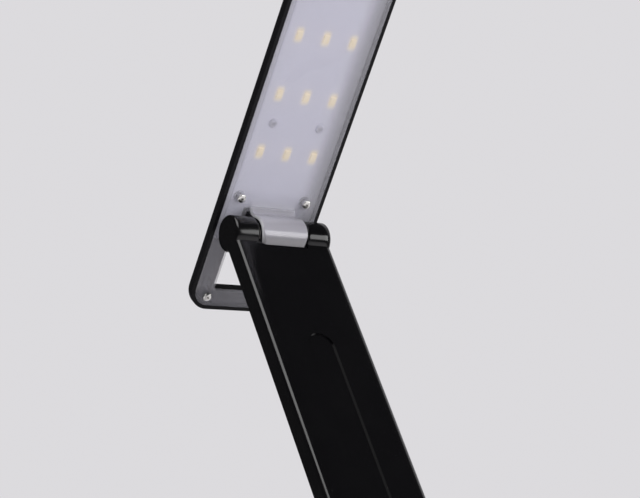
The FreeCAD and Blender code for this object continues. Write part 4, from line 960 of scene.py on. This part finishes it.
# %% World
AMBIENT_TONE = (1.0, 0.985, 1.0)
AMBIENT = 0.50
ROOM_DARK = 0.06
BACKDROP_WAY = Vector((0.85, 0.50, 0.12)).normalized()
BACKDROP_EDGE = (0.80, 0.98)       # cosines of the angle to that way, where the pale side fades in


def make_world():
    world = bpy.data.worlds.new("studio")
    world.use_nodes = True
    bpy.context.scene.world = world
    tree = world.node_tree
    ambient = tree.nodes["Background"]
    ambient.inputs["Color"].default_value = (*AMBIENT_TONE, 1.0)
    ambient.inputs["Strength"].default_value = AMBIENT
    direction = tree.nodes.new("ShaderNodeTexCoord").outputs["Generated"]
    towards = add(tree, "ShaderNodeVectorMath", {"operation": "DOT_PRODUCT"}, in_0=direction,
                  in_1=tuple(BACKDROP_WAY)).outputs["Value"]
    mirrored = add(tree, "ShaderNodeBackground", Color=(*BACKGROUND, 1.0),
                   Strength=ramp(tree, towards, *BACKDROP_EDGE, ROOM_DARK, 1.0))
    backdrop = add(tree, "ShaderNodeBackground", Color=(*BACKGROUND, 1.0), Strength=1.0)
    path = tree.nodes.new("ShaderNodeLightPath")
    reflected = maths(tree, "MAXIMUM", path.outputs["Is Glossy Ray"], path.outputs["Is Transmission Ray"])
    lit = add(tree, "ShaderNodeMixShader", Fac=reflected)
    tree.links.new(ambient.outputs[0], lit.inputs[1])
    tree.links.new(mirrored.outputs[0], lit.inputs[2])
    seen = add(tree, "ShaderNodeMixShader", Fac=path.outputs["Is Camera Ray"])
    tree.links.new(lit.outputs[0], seen.inputs[1])
    tree.links.new(backdrop.outputs[0], seen.inputs[2])
    tree.links.new(seen.outputs[0], tree.nodes["World Output"].inputs["Surface"])
    return world


print("world", make_world().name)

# %% [markdown]
# ## Lights
# Two soft boxes do the modelling. The wide key light stands in front on the right and makes the long
# highlight on the knuckle. The other hangs above on the left and draws the line along the arm's
# edge. The world's even light fills the rest.

# %% Lights
LIGHTS = (
    # name, way from the upper hinge, distance, width, height, power in watts
    ("key_softbox", (0.55, -0.79, 0.20), 1.25, 2.2, 0.50, 12.0),
    ("edge_softbox", (-0.63, -0.17, 0.755), 1.20, 0.9, 0.9, 9.0),
)
for name, way, distance, width, height, power in LIGHTS:
    data = bpy.data.lights.new(name, "AREA")
    data.shape = "RECTANGLE"
    data.size = width
    data.size_y = height
    data.energy = power
    lamp = bpy.data.objects.new(name, data)
    lamp.location = upper_hinge + Vector(way).normalized() * distance
    lamp.rotation_euler = Vector(way).to_track_quat("Z", "Y").to_euler()
    bpy.context.scene.collection.objects.link(lamp)
    print(name, "radiance", round(power / (math.pi * width * height), 2))

bpy.context.scene.view_settings.view_transform = "Standard"
